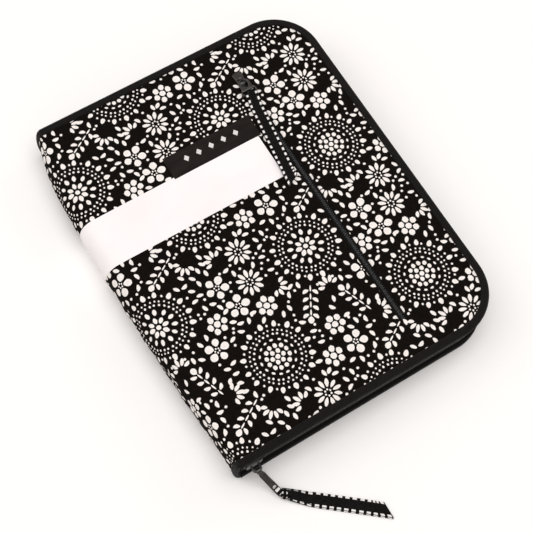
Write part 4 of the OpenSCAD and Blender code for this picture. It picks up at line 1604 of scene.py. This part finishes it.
def build_caps():
    """Four end caps with notched rims."""
    soup = Soup()
    for cx in COIL_X:
        for s in (-1, 1):
            x, y = cx + s * 6, 10.0
            rim = []
            for k in range(96):
                a = TAU * k / 96
                r = 4.98 - 0.28 * (0.5 + 0.5 * math.cos(16 * a)) ** 3
                rim.append((x + r * math.cos(a), y + r * math.sin(a)))
            soup.add(*prism(rim, [], 16.85, 18.75))
            soup.add(*prism(circle(x, y, 3.6, 32), [], 18.7, 18.95))
            soup.add(*prism(circle(x, y, 1.95, 24), [circle(x, y, 0.95, 16)], 18.9, 20.15))
    made = soup.make("cable_end_caps", ("cap",), "front_cover", "cap_plastic", ("end_caps",))
    bevel(made, 0.16)


# ================= camera, floor and light =================


def in_scene(name, data):
    made = bpy.data.objects.new(name, data)
    bpy.context.scene.collection.objects.link(made)
    return made


def build_camera():
    camera = bpy.data.cameras.new("camera")
    camera.sensor_width = 36
    camera.lens = 74.78
    camera.clip_start = 0.05
    camera.clip_end = 20
    right = Vector((0.85406, -0.51942, 0.02801))
    down = Vector((-0.4739, -0.79917, -0.3698))
    ahead = Vector((0.21446, 0.30256, -0.92869))
    turn = Matrix((right, -down, -ahead)).transposed().to_4x4()
    holder = in_scene("camera", camera)
    holder.matrix_world = Matrix.Translation(Vector((-134.75, -193.59, 546.87)) * MM) @ turn
    bpy.context.scene.camera = holder


def build_floor(size=3.0):
    mesh = bpy.data.meshes.new("floor")
    corners = [(-size, -size, 0), (size, -size, 0), (size, size, 0), (-size, size, 0)]
    mesh.from_pydata(corners, [], [(0, 1, 2, 3)])
    made = Shader("paper_backdrop", (0.93, 0.90, 0.885), 0.95, specular=0.05)
    made.colour(made.noise(3, 2), (0.3, (0.945, 0.925, 0.91)), (0.7, (0.955, 0.94, 0.93)))
    made.bump(made.noise(300, 2), 0.02, 0.3)
    mesh.materials.append(made.mat)
    in_scene("floor", mesh)


def build_world():
    world = bpy.data.worlds.new("world")
    world.use_nodes = True
    back = world.node_tree.nodes["Background"]
    back.inputs["Color"].default_value = (1.0, 0.94, 0.915, 1)
    back.inputs["Strength"].default_value = 0.43
    bpy.context.scene.world = world
    bpy.context.scene.view_settings.view_transform = "Standard"


def build_light(name, place, width, power, colour):
    """Round area light aimed at the middle of the case."""
    light = bpy.data.lights.new(name, "AREA")
    light.shape = "DISK"
    light.size = width
    light.energy = power
    light.color = colour
    made = in_scene(name, light)
    made.location = place
    made.rotation_euler = (-Vector(place)).to_track_quat("-Z", "Y").to_euler()


build_camera()
build_floor()
build_world()
build_light("key", (-0.75, 0.55, 1.15), 1.3, 5.6, (0.99, 0.99, 0.975))
build_light("overhead", (0.1, -0.2, 1.8), 1.7, 19.3, (0.985, 1.0, 1.0))
build_light("side", (0.95, 0.15, 0.6), 0.6, 1.3, (1.0, 0.93, 0.88))
build_cloth()
build_binding()
build_band()
build_label()
build_main_zip()
build_pocket_zip()
build_main_slider()
build_main_tab()
build_pocket_slider()
build_pocket_tab()
build_pouch_slider()
build_main_ribbon()
build_pocket_ribbon()
build_linings()
build_needle_pockets()
build_pouch()
build_cables()
build_caps()

for cad_node, key in (
    ("front_zip_stops", "dark"), ("back_zip_stops", "dark"),
    ("front_board", "board"), ("back_board", "board"),
    ("spine_board", "board"), ("tightening_keys", "nickel"),
):
    dressed(cad_node, key)
for name in nodes:
    if name.startswith("needles_"):
        dressed(name, "steel")
